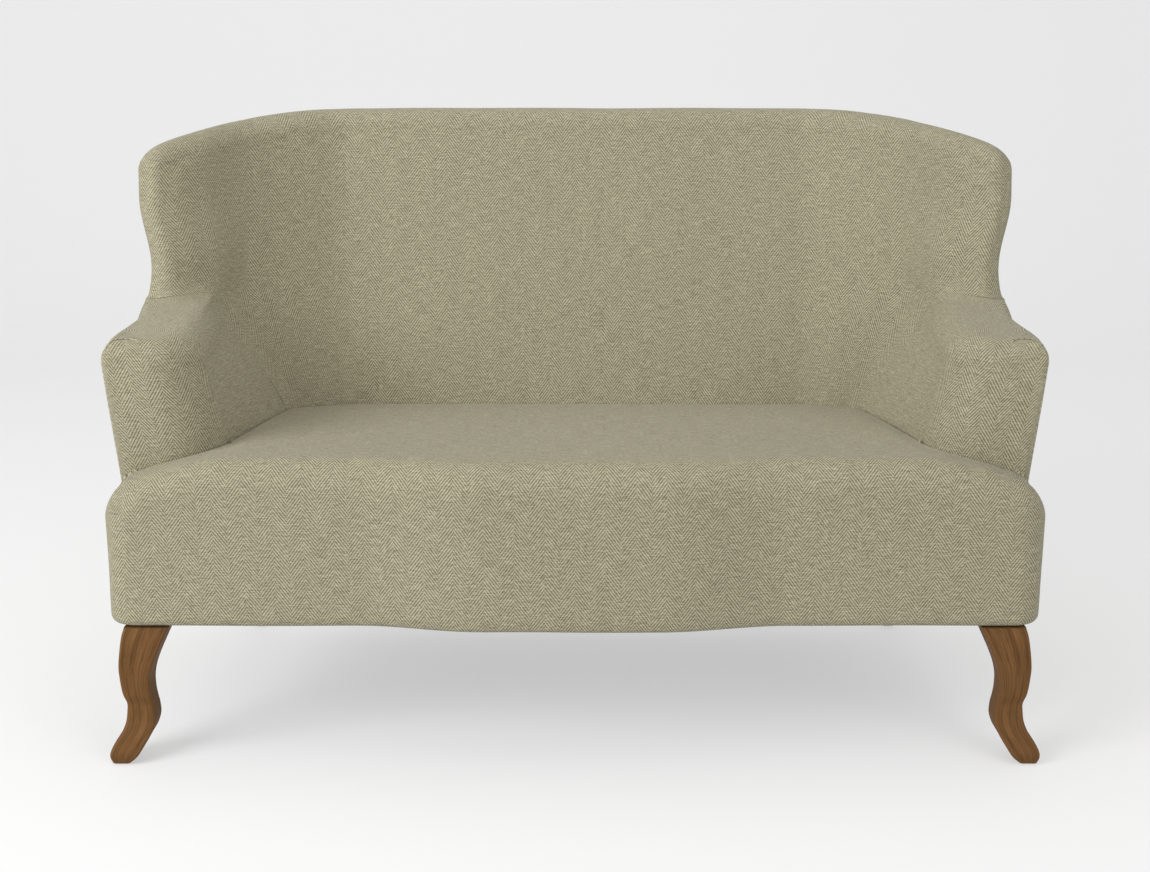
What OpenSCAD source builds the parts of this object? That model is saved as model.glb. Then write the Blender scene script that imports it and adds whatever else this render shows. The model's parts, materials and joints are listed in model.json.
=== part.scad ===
// High back settee: two-seat wing settee with a bowed seat on cabriole legs.
// Left and right are as seen from the front. +X is right, the front faces -Y, the feet stand at Z 0.

/* [Overall] */
// Half the width over the arms, at the upper outer corners of the arm fronts
arm_half_w = 750; // [700:1:820]
// Height of the top edge over the rear of the arms
back_rise = 313; // [270:1:380]
// Floor to the lower edge of the cover
under_h = 221; // [190:1:260]
// Thickness of the upholstery cloth
cloth_t = 1.6; // [1:0.1:2.5]
// Running clearance between neighbouring pieces
gap = 0.3; // [0.2:0.05:0.5]

/* [Seat] */
// How far the seat's side lies inside the arm's outer corner
seat_side_in = 7; // [2:1:12]
// Height of the seat's front crest over the cover's lower edge
seat_body_h = 270; // [240:1:300]
// How much lower the seat is where it meets the inside back
seat_fall = 13; // [4:1:24]
// How far the seat's front corners lie ahead of the origin
seat_reach = 344; // [320:1:380]
// How far the middle of the seat front bows out ahead of its corners
bow = 30; // [10:1:50]
// Half the width over which the bow is full
bow_half_w = 140; // [80:1:200]
// Width over which the bow fades out to each side
bow_ease_w = 205; // [150:1:260]
// Radius of the roll along the seat's front crest
crest_r = 46; // [36:1:56]
// Radius of the seat's upright front corners
corner_r = 48; // [40:1:60]
// How much lower the crest lies at the seat's sides
seat_side_drop = 52; // [20:1:60]
// Width at each side over which the seat top slopes to that height
seat_slope_w = 223; // [140:1:300]

/* [Inside back] */
// How far the inside back lies behind the origin at seat level
back_seat_y = 142; // [120:1:170]
// Lean of the inside back
rake = 14; // [10:0.5:18]
// Distance from the arm's outer side to where the arm meets the back, at seat level
join_in_low = 233; // [210:1:250]
// The same at the height of the arm tops
join_in_high = 170; // [150:1:182]
// Width at seat level over which the back turns forward to that line
turn_w_low = 117; // [90:1:150]
// The same above the arms
turn_w_high = 170; // [140:1:200]
// How far that meeting line lies ahead of the back, at seat level
join_ahead_low = 51; // [40:1:65]
// The same at the height of the arm tops
join_ahead_high = 92; // [78:1:108]
// Radius of the roll along the top edge
top_roll_r = 40; // [30:1:46]
// How much lower the wing's front top corner is than the middle of the back
wing_drop = 84; // [54:1:110]

/* [Wings] */
// How far the wing's outer edge lies inside the arm's outer corner
wing_side_in = 1; // [0:1:20]
// How far the wing's outer edge draws in at its waist
wing_waist_in = 20; // [0:1:34]
// Height of that waist over the rear of the arms
wing_waist_rise = 52; // [40:1:100]
// Height over which the waist fades out, up and down
wing_waist_span = 125; // [100:1:170]
// How far the wing's foot comes ahead of the inside back's foot
wing_fore_d = 152; // [138:1:168]
// Lean of the wing's front edge
wing_rake = 11; // [6:0.5:15]
// Width of the wing's rounded front
wing_nose_w = 104; // [92:1:116]
// How far the rounded front falls back to the inside
wing_nose_d = 52; // [42:1:60]
// How far the wing's outer edge lies behind its foremost line
wing_edge_d = 18; // [12:1:26]

/* [Arms] */
// How far the arm fronts lie behind the seat's front corners
arm_set_back = 91; // [76:1:110]
// Height of the arm top over the seat's front crest
arm_rise = 173; // [150:1:200]
// How much higher the arm top is where the wing stands on it
arm_climb = 26; // [16:1:40]
// How much lower the arm's outer top edge is, at the front
arm_edge_drop = 28; // [20:1:40]
// How far the risen outer edge stays below the arm top's rear height
arm_edge_mid_drop = 31; // [22:1:40]
// Length over which the outer edge rises from the front
arm_edge_rise = 80; // [50:1:120]
// How far the arm flares out towards its front
arm_flare = 14; // [6:1:20]
// Length over which that flare fades out
arm_flare_len = 150; // [110:1:180]
// Sideways lean of the arm's outer side, in degrees
arm_lean = 6; // [3:0.5:9]
// Thickness of an arm behind its rounded front, at seat level
arm_w_low = 183; // [165:1:200]
// The same at the arm's inner top edge
arm_w_high = 152; // [136:1:165]
// Radius that rounds the arm front into the inner side
arm_nose_r = 84; // [60:1:95]
// Radius of the roll over the arm's inner top edge
arm_roll_r = 46; // [30:1:54]
// Radius of the roll over the arm's front top edge
arm_front_roll_r = 22; // [16:1:28]
// Radius of the arm front's outer edge
arm_edge_r = 12; // [8:1:16]

/* [Outside back] */
// Depth from the inside back's foot to the outside back, at the cover's lower edge
back_depth = 128; // [112:1:148]
// Lean of the outside back
rear_rake = 7.6; // [5:0.2:10]
// How far the rear corners lie inside the arm's outer corner
rear_taper = 95; // [70:1:110]
// How much lower the top's rear edge is than its front roll
rear_fall = 20; // [8:1:26]

/* [Legs] */
// Width of a front leg's square top
leg_w = 72; // [64:1:80]
// How far the front leg's top lies inside the seat's side
leg_in_side = 31; // [20:1:36]
// How far it lies behind the seat's front corner
leg_in_front = 6; // [4:1:14]
// How far the foot kicks out past the top's outer faces
foot_kick = 29; // [16:1:34]
// How far the foot kicks out past the top's front face
foot_kick_front = 33; // [18:1:38]
// Radius of the leg's softened edges
leg_edge_r = 5; // [3:0.5:7]
// Thickness of the glides under the feet
glide_t = 2; // [2:0.5:5]
// Diameter of a glide
glide_d = 16; // [12:1:18]
// How far the rear legs' middles lie inside the rear corners
rear_leg_in = 38; // [35:1:54]
// Thickness of a back upright, side to side
upright_t = 32; // [28:1:36]
// Depth of a back upright at the rail, front to back
upright_d = 48; // [42:1:56]
// Width of a rear leg's foot, side to side
rear_foot_w = 20; // [16:1:26]
// Depth of a rear leg's foot, front to back
rear_foot_d = 34; // [28:1:40]
// How far the rear foot kicks back behind the rail
rear_kick = 31; // [25:1:45]

/* [Frame] */
// Height of the rails' underside over the cover's lower edge
rail_rise = 4; // [3:1:8]
// Thickness of the seat rails
rail_t = 26; // [22:1:30]
// How far the seat rails stay below the seat's rolled side edge
rail_cover = 20; // [16:1:30]
// Thickness of the wadding round the seat rails
border_pad_t = 8; // [5:1:12]
// How far the side rails lie inside the seat's sides at the front rail
side_rail_set_in = 45; // [41:1:53]
// Thickness of the upper frame boards
board_t = 24; // [20:1:26]
// Width of the arm rails
arm_rail_w = 36; // [30:1:40]
// Depth of the wing posts
wing_post_d = 40; // [34:1:46]
// Height of the upper frame rails
board_h = 50; // [44:1:60]
// Thickness of the pads on arms and wings, and of the back pad at its top
pad_t = 18; // [14:1:20]
// Thickness of the back pad at seat level
back_pad_t = 76; // [60:1:84]
// Thickness of the centre brace
brace_t = 45; // [36:1:50]
// Height of the centre brace and the corner blocks
block_h = 60; // [50:1:70]
// Length of a corner block along each rail
block_l = 92; // [80:1:100]
// Diameter of the leg bolts
bolt_d = 8; // [6:1:10]
// Depth of the bolt in the leg
bolt_deep = 30; // [24:1:34]
// Width of the square washers on the leg bolts
plate_w = 14; // [13:0.5:15]
// Thickness of the washers
plate_t = 3; // [2:0.5:4]

/* [Springs and straps] */
// Number of seat springs
spring_count = 9; // [7:1:10]
// How far the outer springs' middles lie inside the back uprights
spring_edge_in = 113; // [90:1:160]
// Diameter of the spring wire
spring_wire = 3.8; // [3:0.1:4.2]
// Width of a sinuous spring
spring_w = 58; // [54:1:62]
// Number of bends in a spring
bend_count = 16; // [14:2:18]
// Thickness of the webbing straps and the hessian
strap_t = 1.5; // [1:0.1:2]
// Width of the webbing straps
strap_w = 50; // [45:1:60]
// Number of upright back straps
strap_count = 6; // [4:1:8]
// Number of cross straps on the back
cross_count = 3; // [2:1:4]
// Diameter of the tie wires
tie_d = 2.4; // [2:0.1:3]

/* [Hidden] */

// Finish colours
cloth_colour = [0.62, 0.59, 0.49];
leg_colour = [0.42, 0.28, 0.17];
frame_colour = [0.78, 0.66, 0.48];
steel_colour = [0.62, 0.63, 0.65];
foam_colour = [0.93, 0.89, 0.74];
hessian_colour = [0.66, 0.55, 0.38];
lining_colour = [0.12, 0.12, 0.13];

// One overrun serves every cut
over = 1;

// Widths and heights that follow from the sizes above
seat_half_w = arm_half_w - seat_side_in;
wing_half_w = arm_half_w - wing_side_in;
rear_half_w = arm_half_w - rear_taper;
rear_leg_half = rear_half_w - rear_leg_in;
side_rail_half = seat_half_w - side_rail_set_in;
arm_in_low = arm_half_w - arm_w_low;
arm_in_high = arm_half_w - arm_w_high;
join_half_low = arm_half_w - join_in_low;
join_half_high = arm_half_w - join_in_high;
back_flat_low = join_half_low - turn_w_low;
back_flat_high = join_half_high - turn_w_high;
seat_level_half = seat_half_w - seat_slope_w;
arm_reach = seat_reach - arm_set_back;
wing_front_y = back_seat_y - wing_fore_d;
rear_y = back_seat_y + back_depth;
seat_h = under_h + seat_body_h;
seat_back_h = seat_h - seat_fall;
arm_h = seat_h + arm_rise;
arm_rear_h = arm_h + arm_climb;
arm_edge_h = arm_h - arm_edge_drop;
arm_edge_mid_h = arm_rear_h - arm_edge_mid_drop;
wing_waist_h = arm_rear_h + wing_waist_rise;
overall_h = arm_rear_h + back_rise;
rail_low = under_h + rail_rise;
rail_h = seat_h - seat_side_drop - crest_r - rail_cover - rail_low;
rail_top = rail_low + rail_h;

function clamped(t) = min(1, max(0, t));
function eased(t) = let(c = clamped(t)) c * c * (3 - 2 * c);
function mix(a, b, t) = a + (b - a) * t;
// Smooth curve through a row of points, t counts the points from 0
function spline(p, t) = let(
  i = max(0, min(floor(t), len(p) - 2)), f = t - i,
  a = p[max(i - 1, 0)], b = p[i], c = p[i + 1], d = p[min(i + 2, len(p) - 1)]
) (2 * b + (c - a) * f + (2 * a - 5 * b + 4 * c - d) * f * f + (3 * b - a - 3 * c + d) * f * f * f) / 2;
function unit(v) = v / max(norm(v), 0.000001);
// How far a round of radius r still lies below its top at a distance into it
function roll_fall(dist, r) = let(d = min(max(dist, 0), r)) r - sqrt(max(0, r * r - (r - d) * (r - d)));
// Way along a path of length d: a quarter round of radius r first, then straight on
function roll_way(r, d, k) = k < 0.5 ? r / d * (1 - cos(180 * k)) : mix(r / d, 1, (k - 0.5) * 2);
function mirrored(stations) = concat([for (i = [len(stations) - 1:-1:1]) -stations[i]], stations);

// Inside back and wings: the plan curve at a height, as eight points from the middle outwards
turn_x_share = 0.5;
turn_y_share = 0.38;
arm_side_share = 0.3;
nose_mid_share = 0.4;
nose_edge_share = 0.1;
nose_edge_back_share = 0.3;
tuck = 8;
tuck_h = seat_back_h - tuck;
function level(z) = clamped((z - seat_back_h) / (arm_rear_h - seat_back_h));
function back_y(z) = back_seat_y + (z - seat_back_h) * tan(rake);
function nose_y(z) = wing_front_y + (z - arm_rear_h) * tan(wing_rake);
function waist(z) = let(a = abs(z - wing_waist_h) / wing_waist_span) a < 1 ? (1 + cos(180 * a)) / 2 : 0;
function edge_x(z) = wing_half_w - wing_waist_in * waist(z);
function join_x(z) = mix(join_half_low, join_half_high, level(z));
function join_y(z) = back_y(z) - mix(join_ahead_low, join_ahead_high, level(z));
function flat_x(z) = mix(back_flat_low, back_flat_high, level(z));
function arm_side_x(z) = mix(join_x(z), arm_in_low, arm_side_share);
function arm_side_y(z) = mix(join_y(z), arm_nose_r - arm_reach, arm_side_share);
function plan_points(z) = let(
  k = level(z), yb = back_y(z), fx = flat_x(z), jx = join_x(z), jy = join_y(z), ex = edge_x(z),
  ny = nose_y(z), turn_w = (jx - fx) * turn_x_share, turn_y = mix(yb, jy, turn_y_share)
) [
  [fx - turn_w, turn_y],
  [fx, yb],
  [fx + turn_w, turn_y],
  [jx, jy],
  [mix(arm_side_x(z), ex - wing_nose_w, k), mix(arm_side_y(z), ny + wing_nose_d, k)],
  [ex - wing_nose_w * nose_mid_share, ny],
  [ex - wing_nose_w * nose_edge_share, ny + wing_edge_d * nose_edge_back_share],
  [ex, ny + wing_edge_d]
];
// Up to 1 the back is flat; the first of the points only starts the turn level
function plan_at(s, z) = s < 1 ? [flat_x(z) * s, back_y(z)] : spline(plan_points(z), s);

// Height of the top edge along the same eight points
top_drop_shares = [0, 0.01, 0.09, 0.215, 0.375, 0.6, 0.825, 1];
function wall_top(s) = overall_h - wing_drop * spline(top_drop_shares, s);

// Outer side of the arms and the wings: x at a depth and a height
rear_corner_r = 30;
arm_side_power = 3.2;
wing_side_power = 2.4;
edge_fade = 90;
arm_top_power = 1.6;
function rear_at(z) = rear_y + (z - under_h) * tan(rear_rake);
function wing_outer_y(z) = nose_y(z) + wing_edge_d;
wing_foot_y = wing_outer_y(arm_rear_h);
function side_share(y, z, front) = clamped((y - front) / (rear_at(z) - rear_corner_r - front));
function arm_edge_x(z) = arm_half_w - (arm_edge_h - z) * tan(arm_lean);
function arm_top(y) = mix(arm_h, arm_rear_h,
  pow(clamped((y + arm_reach) / (wing_front_y + arm_reach)), arm_top_power));
function arm_edge(y) = mix(mix(arm_edge_h, arm_edge_mid_h, eased((y + arm_reach) / arm_edge_rise)),
  arm_rear_h,
  eased((y + edge_fade) / (wing_foot_y + edge_fade)));
function edge_roll(y) = arm_top(y) - arm_edge(y);
function side_x(y, z) = let(
  base = min(arm_edge_x(z), arm_half_w) - arm_flare,
    flare = pow(1 - clamped((y + arm_reach) / arm_flare_len), 2)
) mix(base, rear_half_w, pow(side_share(y, z, -arm_reach), arm_side_power)) + arm_flare * flare;
function wing_side_x(y, z) = mix(edge_x(z), rear_half_w,
  pow(side_share(y, z, wing_outer_y(z)), wing_side_power));

// Outer top edge, by the same count as the plan curve; 3 is the rear corner, 7 the wing's front
wing_top_step = 22;
function top_outer_z(s) = wall_top(s) - rear_fall * eased((7 - s) / 4);
function rear_plan(s, z) = let(yr = rear_at(z))
  spline([[0, yr], [back_flat_high, yr], [rear_half_w - rear_corner_r, yr],
    [rear_half_w, yr - rear_corner_r]], s);
function top_outer(s) = let(z = top_outer_z(s)) s <= 3 ? rear_plan(s, z)
  : let(y = mix(rear_at(z) - rear_corner_r, wing_outer_y(z) + wing_top_step, (s - 3) / 4))
    [wing_side_x(y, z), y];

// Inside back and wing surface: s counts across from the middle, v runs up the face (0 to 1)
// and over the top (1 to 2)
roll_share = 0.46;
seam_gap = 0.6;
function crease_z(s) = arm_top(plan_at(s, arm_rear_h)[1]) + seam_gap;
function face_low(s) = s < 3 ? tuck_h : s < 4 ? mix(tuck_h, crease_z(4), s - 3) : crease_z(s);
function wall_roll(s) = min(top_roll_r,
  norm(top_outer(s) - plan_at(s, wall_top(s) - top_roll_r)) * roll_share);
function wall_face(s, v) = let(z = mix(face_low(s), wall_top(s) - wall_roll(s), v)) concat(plan_at(s, z), z);
function wall_over(s, k) = let(
  r = wall_roll(s), f = plan_at(s, wall_top(s) - r), o = top_outer(s), d = norm(o - f), t = roll_way(r, d, k),
  rear = (wall_top(s) - top_outer_z(s)) * clamped((t * d - r) / (d - r))
) concat(mix(f, o, t), wall_top(s) - roll_fall(t * d, r) - rear);
function flipped(p, on) = on ? [-p[0], p[1], p[2]] : p;
function wall(s, v) = flipped(v <= 1 ? wall_face(abs(s), v) : wall_over(abs(s), v - 1), s < 0);

// Right arm's surface: q runs from the outer front edge (0) across the front (1 to 2), round the nose (3)
// and along the inner side to the back (4); v runs up the face (0 to 1) and over the top (1 to 2)
arm_foot_h = rail_top + 2 * gap;
edge_soft_share = 0.2;
crease_gap_share = 0.014;
arm_edge_shares = [0, 0.04, 0.14, 0.42, 1];
crease_power = 3;
function arm_in_x(z) = mix(arm_in_low, arm_in_high,
  clamped((z - seat_back_h) / (arm_h - arm_roll_r - seat_back_h)));
function join_s(z) = 3 + clamped((z - tuck_h) / (crease_z(4) - tuck_h));
function arm_plan(q, z) = let(
  xo = arm_edge_x(min(z, arm_edge_h)), xi = arm_in_x(z), y0 = -arm_reach
) q < 1 ? [xo - arm_edge_r * (1 - cos(90 * q)), y0 + arm_edge_r * (1 - sin(90 * q))]
  : q < 2 ? [mix(xo - arm_edge_r, xi + arm_nose_r, q - 1), y0]
  : q < 3 ? [xi + arm_nose_r * (1 - sin(90 * (q - 2))), y0 + arm_nose_r * (1 - cos(90 * (q - 2)))]
  : mix([xi, y0 + arm_nose_r], plan_at(join_s(z), z), (q - 3) * (1 - crease_gap_share));
function arm_low(q) = q <= 0.5 ? under_h : q < 1 ? mix(under_h, arm_foot_h, 2 * q - 1)
  : mix(arm_foot_h, tuck_h, eased((q - 1) / 2));
function arm_edge_y(q) = mix(arm_edge_r + arm_front_roll_r - arm_reach, wing_foot_y,
  spline(arm_edge_shares, q));
function arm_roll(q) = q < 1 ? arm_front_roll_r * mix(edge_soft_share, 1, q)
  : mix(arm_front_roll_r, arm_roll_r, eased((q - 1) / 2));
// Height of the arm top over a plan point, with the roll along its outer edge
function arm_height(p) = let(r = max(edge_roll(p[1]), gap)) arm_top(p[1])
  - roll_fall(side_x(p[1], arm_edge_h) - p[0], r);
function arm_shoulder(q) = arm_height(arm_plan(q, arm_edge_h)) - arm_roll(q);
function arm_over(q, k) = let(
  r = arm_roll(q), f = arm_plan(q, arm_shoulder(q)), ye = arm_edge_y(q), e = [side_x(ye, arm_edge_h), ye],
  d = norm(e - f), rr = min(r, d * roll_share), t = roll_way(rr, d, k), p = mix(f, e, t),
  fall = roll_fall(t * d * r / rr, r)
) concat(p, mix(arm_height(p), arm_shoulder(q), fall / r));
// The arm's rear rim follows the foot of the wing
function arm_crease(k) = let(s = mix(join_s(arm_shoulder(4)), 7, k), z = face_low(s) - seam_gap)
  concat(plan_at(s, z), z);
function arm(q, v) = v <= 1 ? let(z = mix(arm_low(q), arm_shoulder(q), v)) concat(arm_plan(q, z), z)
  : mix(arm_over(q, v - 1), arm_crease(v - 1), pow(clamped(q - 3), crease_power));

// Seat surface, right half: q 0 is the middle of the front, 3 the corner's start, 4 its end,
// 5 the side's rear end and 6 the return behind it; v runs up the face (0 to 1) and over the top
low_round_r = 14;
arm_clear = 3;
side_rear_y = -arm_reach - arm_clear;
return_x = side_rail_half + 2 * gap;
function bow_at(x) = bow * (1 - eased((abs(x) - bow_half_w) / bow_ease_w));
function front_y(x) = -seat_reach - bow_at(x);
function rim_plan(q, inset) = let(x1 = seat_half_w - corner_r, r = corner_r - inset)
  q <= 3 ? let(x = x1 * q / 3) [x, front_y(x) + inset]
  : q <= 4 ? let(a = 90 * (q - 3)) [x1 + r * sin(a), corner_r - seat_reach - r * cos(a)]
  : q <= 5 ? [seat_half_w - inset, mix(corner_r - seat_reach, side_rear_y, q - 4)]
  : [mix(seat_half_w - inset, return_x, q - 5), side_rear_y];
function rim_dist(x, y) = let(dx = x - seat_half_w + corner_r, dy = corner_r - seat_reach - y - bow_at(x))
  corner_r - (dx > 0 && dy > 0 ? norm([dx, dy]) : max(dx, dy));
function seat_level(x, y) = let(
  deep = clamped((y + seat_reach) / (back_seat_y + seat_reach)),
  out = clamped((x - seat_level_half) / (seat_half_w - seat_level_half))
) mix(seat_h, seat_back_h, deep) - seat_side_drop * out * out;
function seat_height(p) = seat_level(p[0], p[1]) - roll_fall(rim_dist(p[0], p[1]), crest_r);
// Line where the seat meets the inside back, the inner arms and the arm fronts
back_end_share = 1.5;
nose_end_share = 2.5;
front_end_share = 3.1;
line_probe_share = 0.01;
function seat_line(q) = q < back_end_share ? plan_at(3 * q / back_end_share, seat_back_h)
  : q < nose_end_share ? arm_plan(4 - (q - back_end_share) / (nose_end_share - back_end_share), seat_back_h)
  : q < front_end_share ? arm_plan(3 - (q - nose_end_share) / (front_end_share - nose_end_share), seat_back_h)
  : arm_plan(2 - (q - front_end_share) / (5 - front_end_share), seat_back_h);
function seat_join(q) = let(t = seat_line(min(q + line_probe_share, 5))
  - seat_line(max(q - line_probe_share, 0)))
  seat_line(q) + arm_clear * unit([t[1], -t[0]]);
function seat_shoulder(q) = seat_height(rim_plan(q, 0));
function seat_face(q, v) = let(z = mix(under_h, seat_shoulder(q), v))
  concat(rim_plan(q, roll_fall(z - under_h, low_round_r)), z);
function seat_over(q, k) = let(
  f = rim_plan(q, 0), j = q > 5 ? f + [0, cloth_t] : seat_join(q), d = norm(j - f),
  t = roll_way(min(crest_r, d * roll_share), d, k), p = mix(f, j, t)
) concat(p, seat_height(p));
function seat(q, v) = flipped(v <= 1 ? seat_face(abs(q), v) : seat_over(abs(q), v - 1), q < 0);

// Point of a surface set in by d along its normal; side picks the inner side, and on top that is always below
probe_share = 0.02;
function set_in(p, along, up, side, d, top) = let(n = unit(cross(along, up)) * side) p
  + (top ? [n[0], n[1], -abs(n[2])] : n) * d;
function wall_in(s, v, d) = set_in(wall(s, v), wall(min(7, s + probe_share), v)
  - wall(max(-7, s - probe_share), v),
  wall(s, min(2, v + probe_share)) - wall(s, max(0, v - probe_share)), -1, d, v > 1);
function arm_in(q, v, d) = set_in(arm(q, v), arm(min(4, q + probe_share), v)
  - arm(max(0, q - probe_share), v),
  arm(q, min(2, v + probe_share)) - arm(q, max(0, v - probe_share)), 1, d, v > 1);
function seat_in(q, v, d) = set_in(seat(q, v), seat(min(6, q + probe_share), v)
  - seat(max(-6, q - probe_share), v),
  seat(q, min(2, v + probe_share)) - seat(q, max(0, v - probe_share)), -1, d, v > 1);

// Closed sheet between two grids of points with the same rows and columns
module sheet(inner, outer) {
  rows = len(inner);
  cols = len(inner[0]);
  count = rows * cols;
  points = concat([for (row = inner) each row], [for (row = outer) each row]);
  grid = [for (i = [0:rows - 2]) for (j = [0:cols - 2]) let(
    a = i * cols + j, b = a + 1, c = a + cols, d = c + 1
  ) each [[a, b, c], [b, d, c], [a + count, c + count, b + count], [b + count, c + count, d + count]]];
  ends = [for (j = [0:cols - 2]) let(a = j, b = j + 1, c = (rows - 1) * cols + j, d = c + 1)
    each [[a, a + count, b], [b, a + count, b + count], [c, d, c + count], [d, d + count, c + count]]];
  sides = [for (i = [0:rows - 2]) let(a = i * cols, b = a + cols, c = a + cols - 1, d = c + cols)
    each [[a, b, a + count], [b, b + count, a + count], [c, c + count, d], [d, c + count, d + count]]];
  polyhedron(points = points, faces = concat(grid, ends, sides), convexity = 10);
}
// Closed solid through rings of points, from the lowest to the highest
module loft(rings) {
  n = len(rings[0]);
  top = (len(rings) - 1) * n;
  skin = [for (i = [0:len(rings) - 2]) for (j = [0:n - 1]) let(
    a = i * n + j, b = i * n + (j + 1) % n
  ) each [[a, a + n, b], [b, a + n, b + n]]];
  ends = [for (j = [1:n - 2]) each [[0, j, j + 1], [top, top + j + 1, top + j]]];
  polyhedron(points = [for (ring = rings) each ring], faces = concat(skin, ends), convexity = 10);
}
module left_of() {
  mirror([1, 0, 0]) children();
}
module both() {
  children();
  mirror([1, 0, 0]) children();
}

// Stations of the grids; pads leave out the last ones, so that they end inside the covers
wall_col_shares = [0, 0.6, 1, 1.5, 2, 2.5, 3, 3.5, 4, 4.5, 5, 5.5, 6, 6.5, 6.85, 7];
wall_row_shares = [0, 0.25, 0.5, 0.75, 1, 1.15, 1.3, 1.5, 1.88, 2];
arm_col_shares = [0, 0.5, 1, 1.5, 2, 2.33, 2.67, 3, 3.35, 3.7, 4];
arm_row_shares = [0, 0.35, 0.7, 1, 1.12, 1.25, 1.37, 1.5, 1.65, 1.8, 1.92, 2];
seat_col_shares = [0, 0.5, 0.75, 1, 1.25, 1.5, 2, 2.5, 2.7, 2.9, 3.1, 3.25, 3.4, 3.55, 3.7, 3.85, 4, 4.5, 4.8,
  5, 6];
seat_row_shares = [0, 0.02, 0.06, 1, 1.12, 1.25, 1.37, 1.5, 1.7, 2];
function below(stations, limit) = [for (t = stations) if (t < limit) t];

// Cloth covers
pad_in = cloth_t + gap;
edge_gap = cloth_t + 4 * gap;
module inside_back_cover() {
  cols = mirrored(wall_col_shares);
  color(cloth_colour) sheet([for (v = wall_row_shares) [for (s = cols) wall_in(s, v, cloth_t)]],
    [for (v = wall_row_shares) [for (s = cols) wall(s, v)]]);
}
module inside_arm_cover_right() {
  color(cloth_colour) sheet([for (v = arm_row_shares) [for (q = arm_col_shares) arm(q, v)]],
    [for (v = arm_row_shares) [for (q = arm_col_shares) arm_in(q, v, cloth_t)]]);
}
module inside_arm_cover_left() {
  left_of() inside_arm_cover_right();
}
module seat_cover() {
  cols = mirrored(seat_col_shares);
  color(cloth_colour) sheet([for (v = seat_row_shares) [for (q = cols) seat_in(q, v, cloth_t)]],
    [for (v = seat_row_shares) [for (q = cols) seat(q, v)]]);
}
// Outside of an arm: from the front edge to the rear corner, and up to the arm's outer edge
arm_side_ys = [-arm_reach + arm_edge_r + gap, -arm_reach + arm_edge_rise / 3, -arm_reach
  + arm_edge_rise * 2 / 3,
  -arm_reach + arm_edge_rise, -edge_fade, (wing_foot_y - edge_fade) / 2, wing_foot_y];
side_rows = 4;
back_rows = 3;
module outside_arm_cover_right() {
  y2 = rear_at(arm_rear_h) - rear_corner_r - gap;
  ys = concat(arm_side_ys, [for (i = [1:back_rows]) mix(wing_foot_y, y2, i / back_rows)]);
  function point(i, v, d) = let(
    z = mix(under_h, arm_edge(ys[i]) - edge_gap, v),
    y = min(ys[i] - (rear_at(arm_rear_h) - rear_at(z)) * clamped((i - len(arm_side_ys) + 1) / back_rows),
      rear_at(z) - rear_corner_r - gap)
  ) [side_x(y, z) - d, y, z];
  function face(d) = [for (k = [0:side_rows]) [for (i = [0:len(ys) - 1]) point(i, k / side_rows, d)]];
  color(cloth_colour) sheet(face(cloth_t), face(0));
}
module outside_arm_cover_left() {
  left_of() outside_arm_cover_right();
}
// Outside of a wing: along the wing's front edge, the rear corner and the top edge
wing_row_shares = [0, 0.25, 0.5, 0.75, 0.95, 1];
wing_col_shares = [7, 6.5, 6, 5.5, 5, 4.5, 4, 3.5, 3];
module outside_wing_cover_right() {
  function point(s, v, d) = let(
    z = mix(arm_rear_h + seam_gap, top_outer_z(s) - edge_gap, v),
    step = v < 1 ? 6 * gap : wing_top_step,
    y = mix(rear_at(z) - rear_corner_r - gap, wing_outer_y(z) + step, (s - 3) / 4)
  ) [wing_side_x(y, z) - d, y, z];
  function face(d) = [for (v = wing_row_shares) [for (s = wing_col_shares) point(s, v, d)]];
  color(cloth_colour) sheet(face(cloth_t), face(0));
}
module outside_wing_cover_left() {
  left_of() outside_wing_cover_right();
}
// Outside of the back: flat, with a rounded edge to each side
module outside_back_cover() {
  function point(s, v, d) = let(
    a = abs(s), z = mix(under_h, top_outer_z(a) - edge_gap, v), p = rear_plan(a, z),
    w = a <= 2 ? 0 : 90 * (a - 2), q = p - [sin(w), cos(w)] * d
  ) [s < 0 ? -q[0] : q[0], q[1], z];
  cols = mirrored([for (s = wall_col_shares) if (s <= 3) s]);
  function face(d) = [for (k = [0:side_rows]) [for (s = cols) point(s, k / side_rows, d)]];
  color(cloth_colour) sheet(face(0), face(cloth_t));
}

// Pads
join_part_share = 3.5;
function pad_depth(s, v) = pad_t + (back_pad_t - pad_t) * (1 - clamped(v)) * (1 - eased(abs(s) - 2));
module back_pad() {
  cols = mirrored(below(wall_col_shares, 7));
  rows = below(wall_row_shares, 2);
  // On the wings the pad starts just above the arm
  function up(s, v) = v > 0 || abs(s) <= 4 ? v : probe_share;
  color(foam_colour) sheet([for (v = rows) [for (s = cols) wall_in(s, up(s, v), pad_in + pad_depth(s, v))]],
    [for (v = rows) [for (s = cols) wall_in(s, up(s, v), v > 0 ? pad_in : pad_in + gap)]]);
}
// The pad's edge stays inside the outside cover, which leans in below it
pad_edge_in = cloth_t + pad_t * tan(arm_lean) + 2 * gap;
module arm_pad_right() {
  cols = [for (q = arm_col_shares) if (q > 0 && q < 4) q];
  rows = below(arm_row_shares, 2);
  // The pad's face starts above the rails
  function low_share(q) = clamped((arm_foot_h - arm_low(q)) / (arm_shoulder(q) - arm_low(q)));
  function at(q, v, d) = arm_in(q, v > 1 ? v : mix(low_share(q), 1, v), d)
    - [q > join_part_share ? 0 : pad_edge_in * clamped(2 * v - (q < 1 ? 2 : 3)), 0, 0];
  function inset(q) = pad_in + (q > join_part_share ? 2 * gap : 0);
  color(foam_colour) sheet([for (v = rows) [for (q = cols) at(q, v, inset(q))]],
    [for (v = rows) [for (q = cols) at(q, v, pad_in + pad_t)]]);
}
module arm_pad_left() {
  left_of() arm_pad_right();
}

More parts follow.
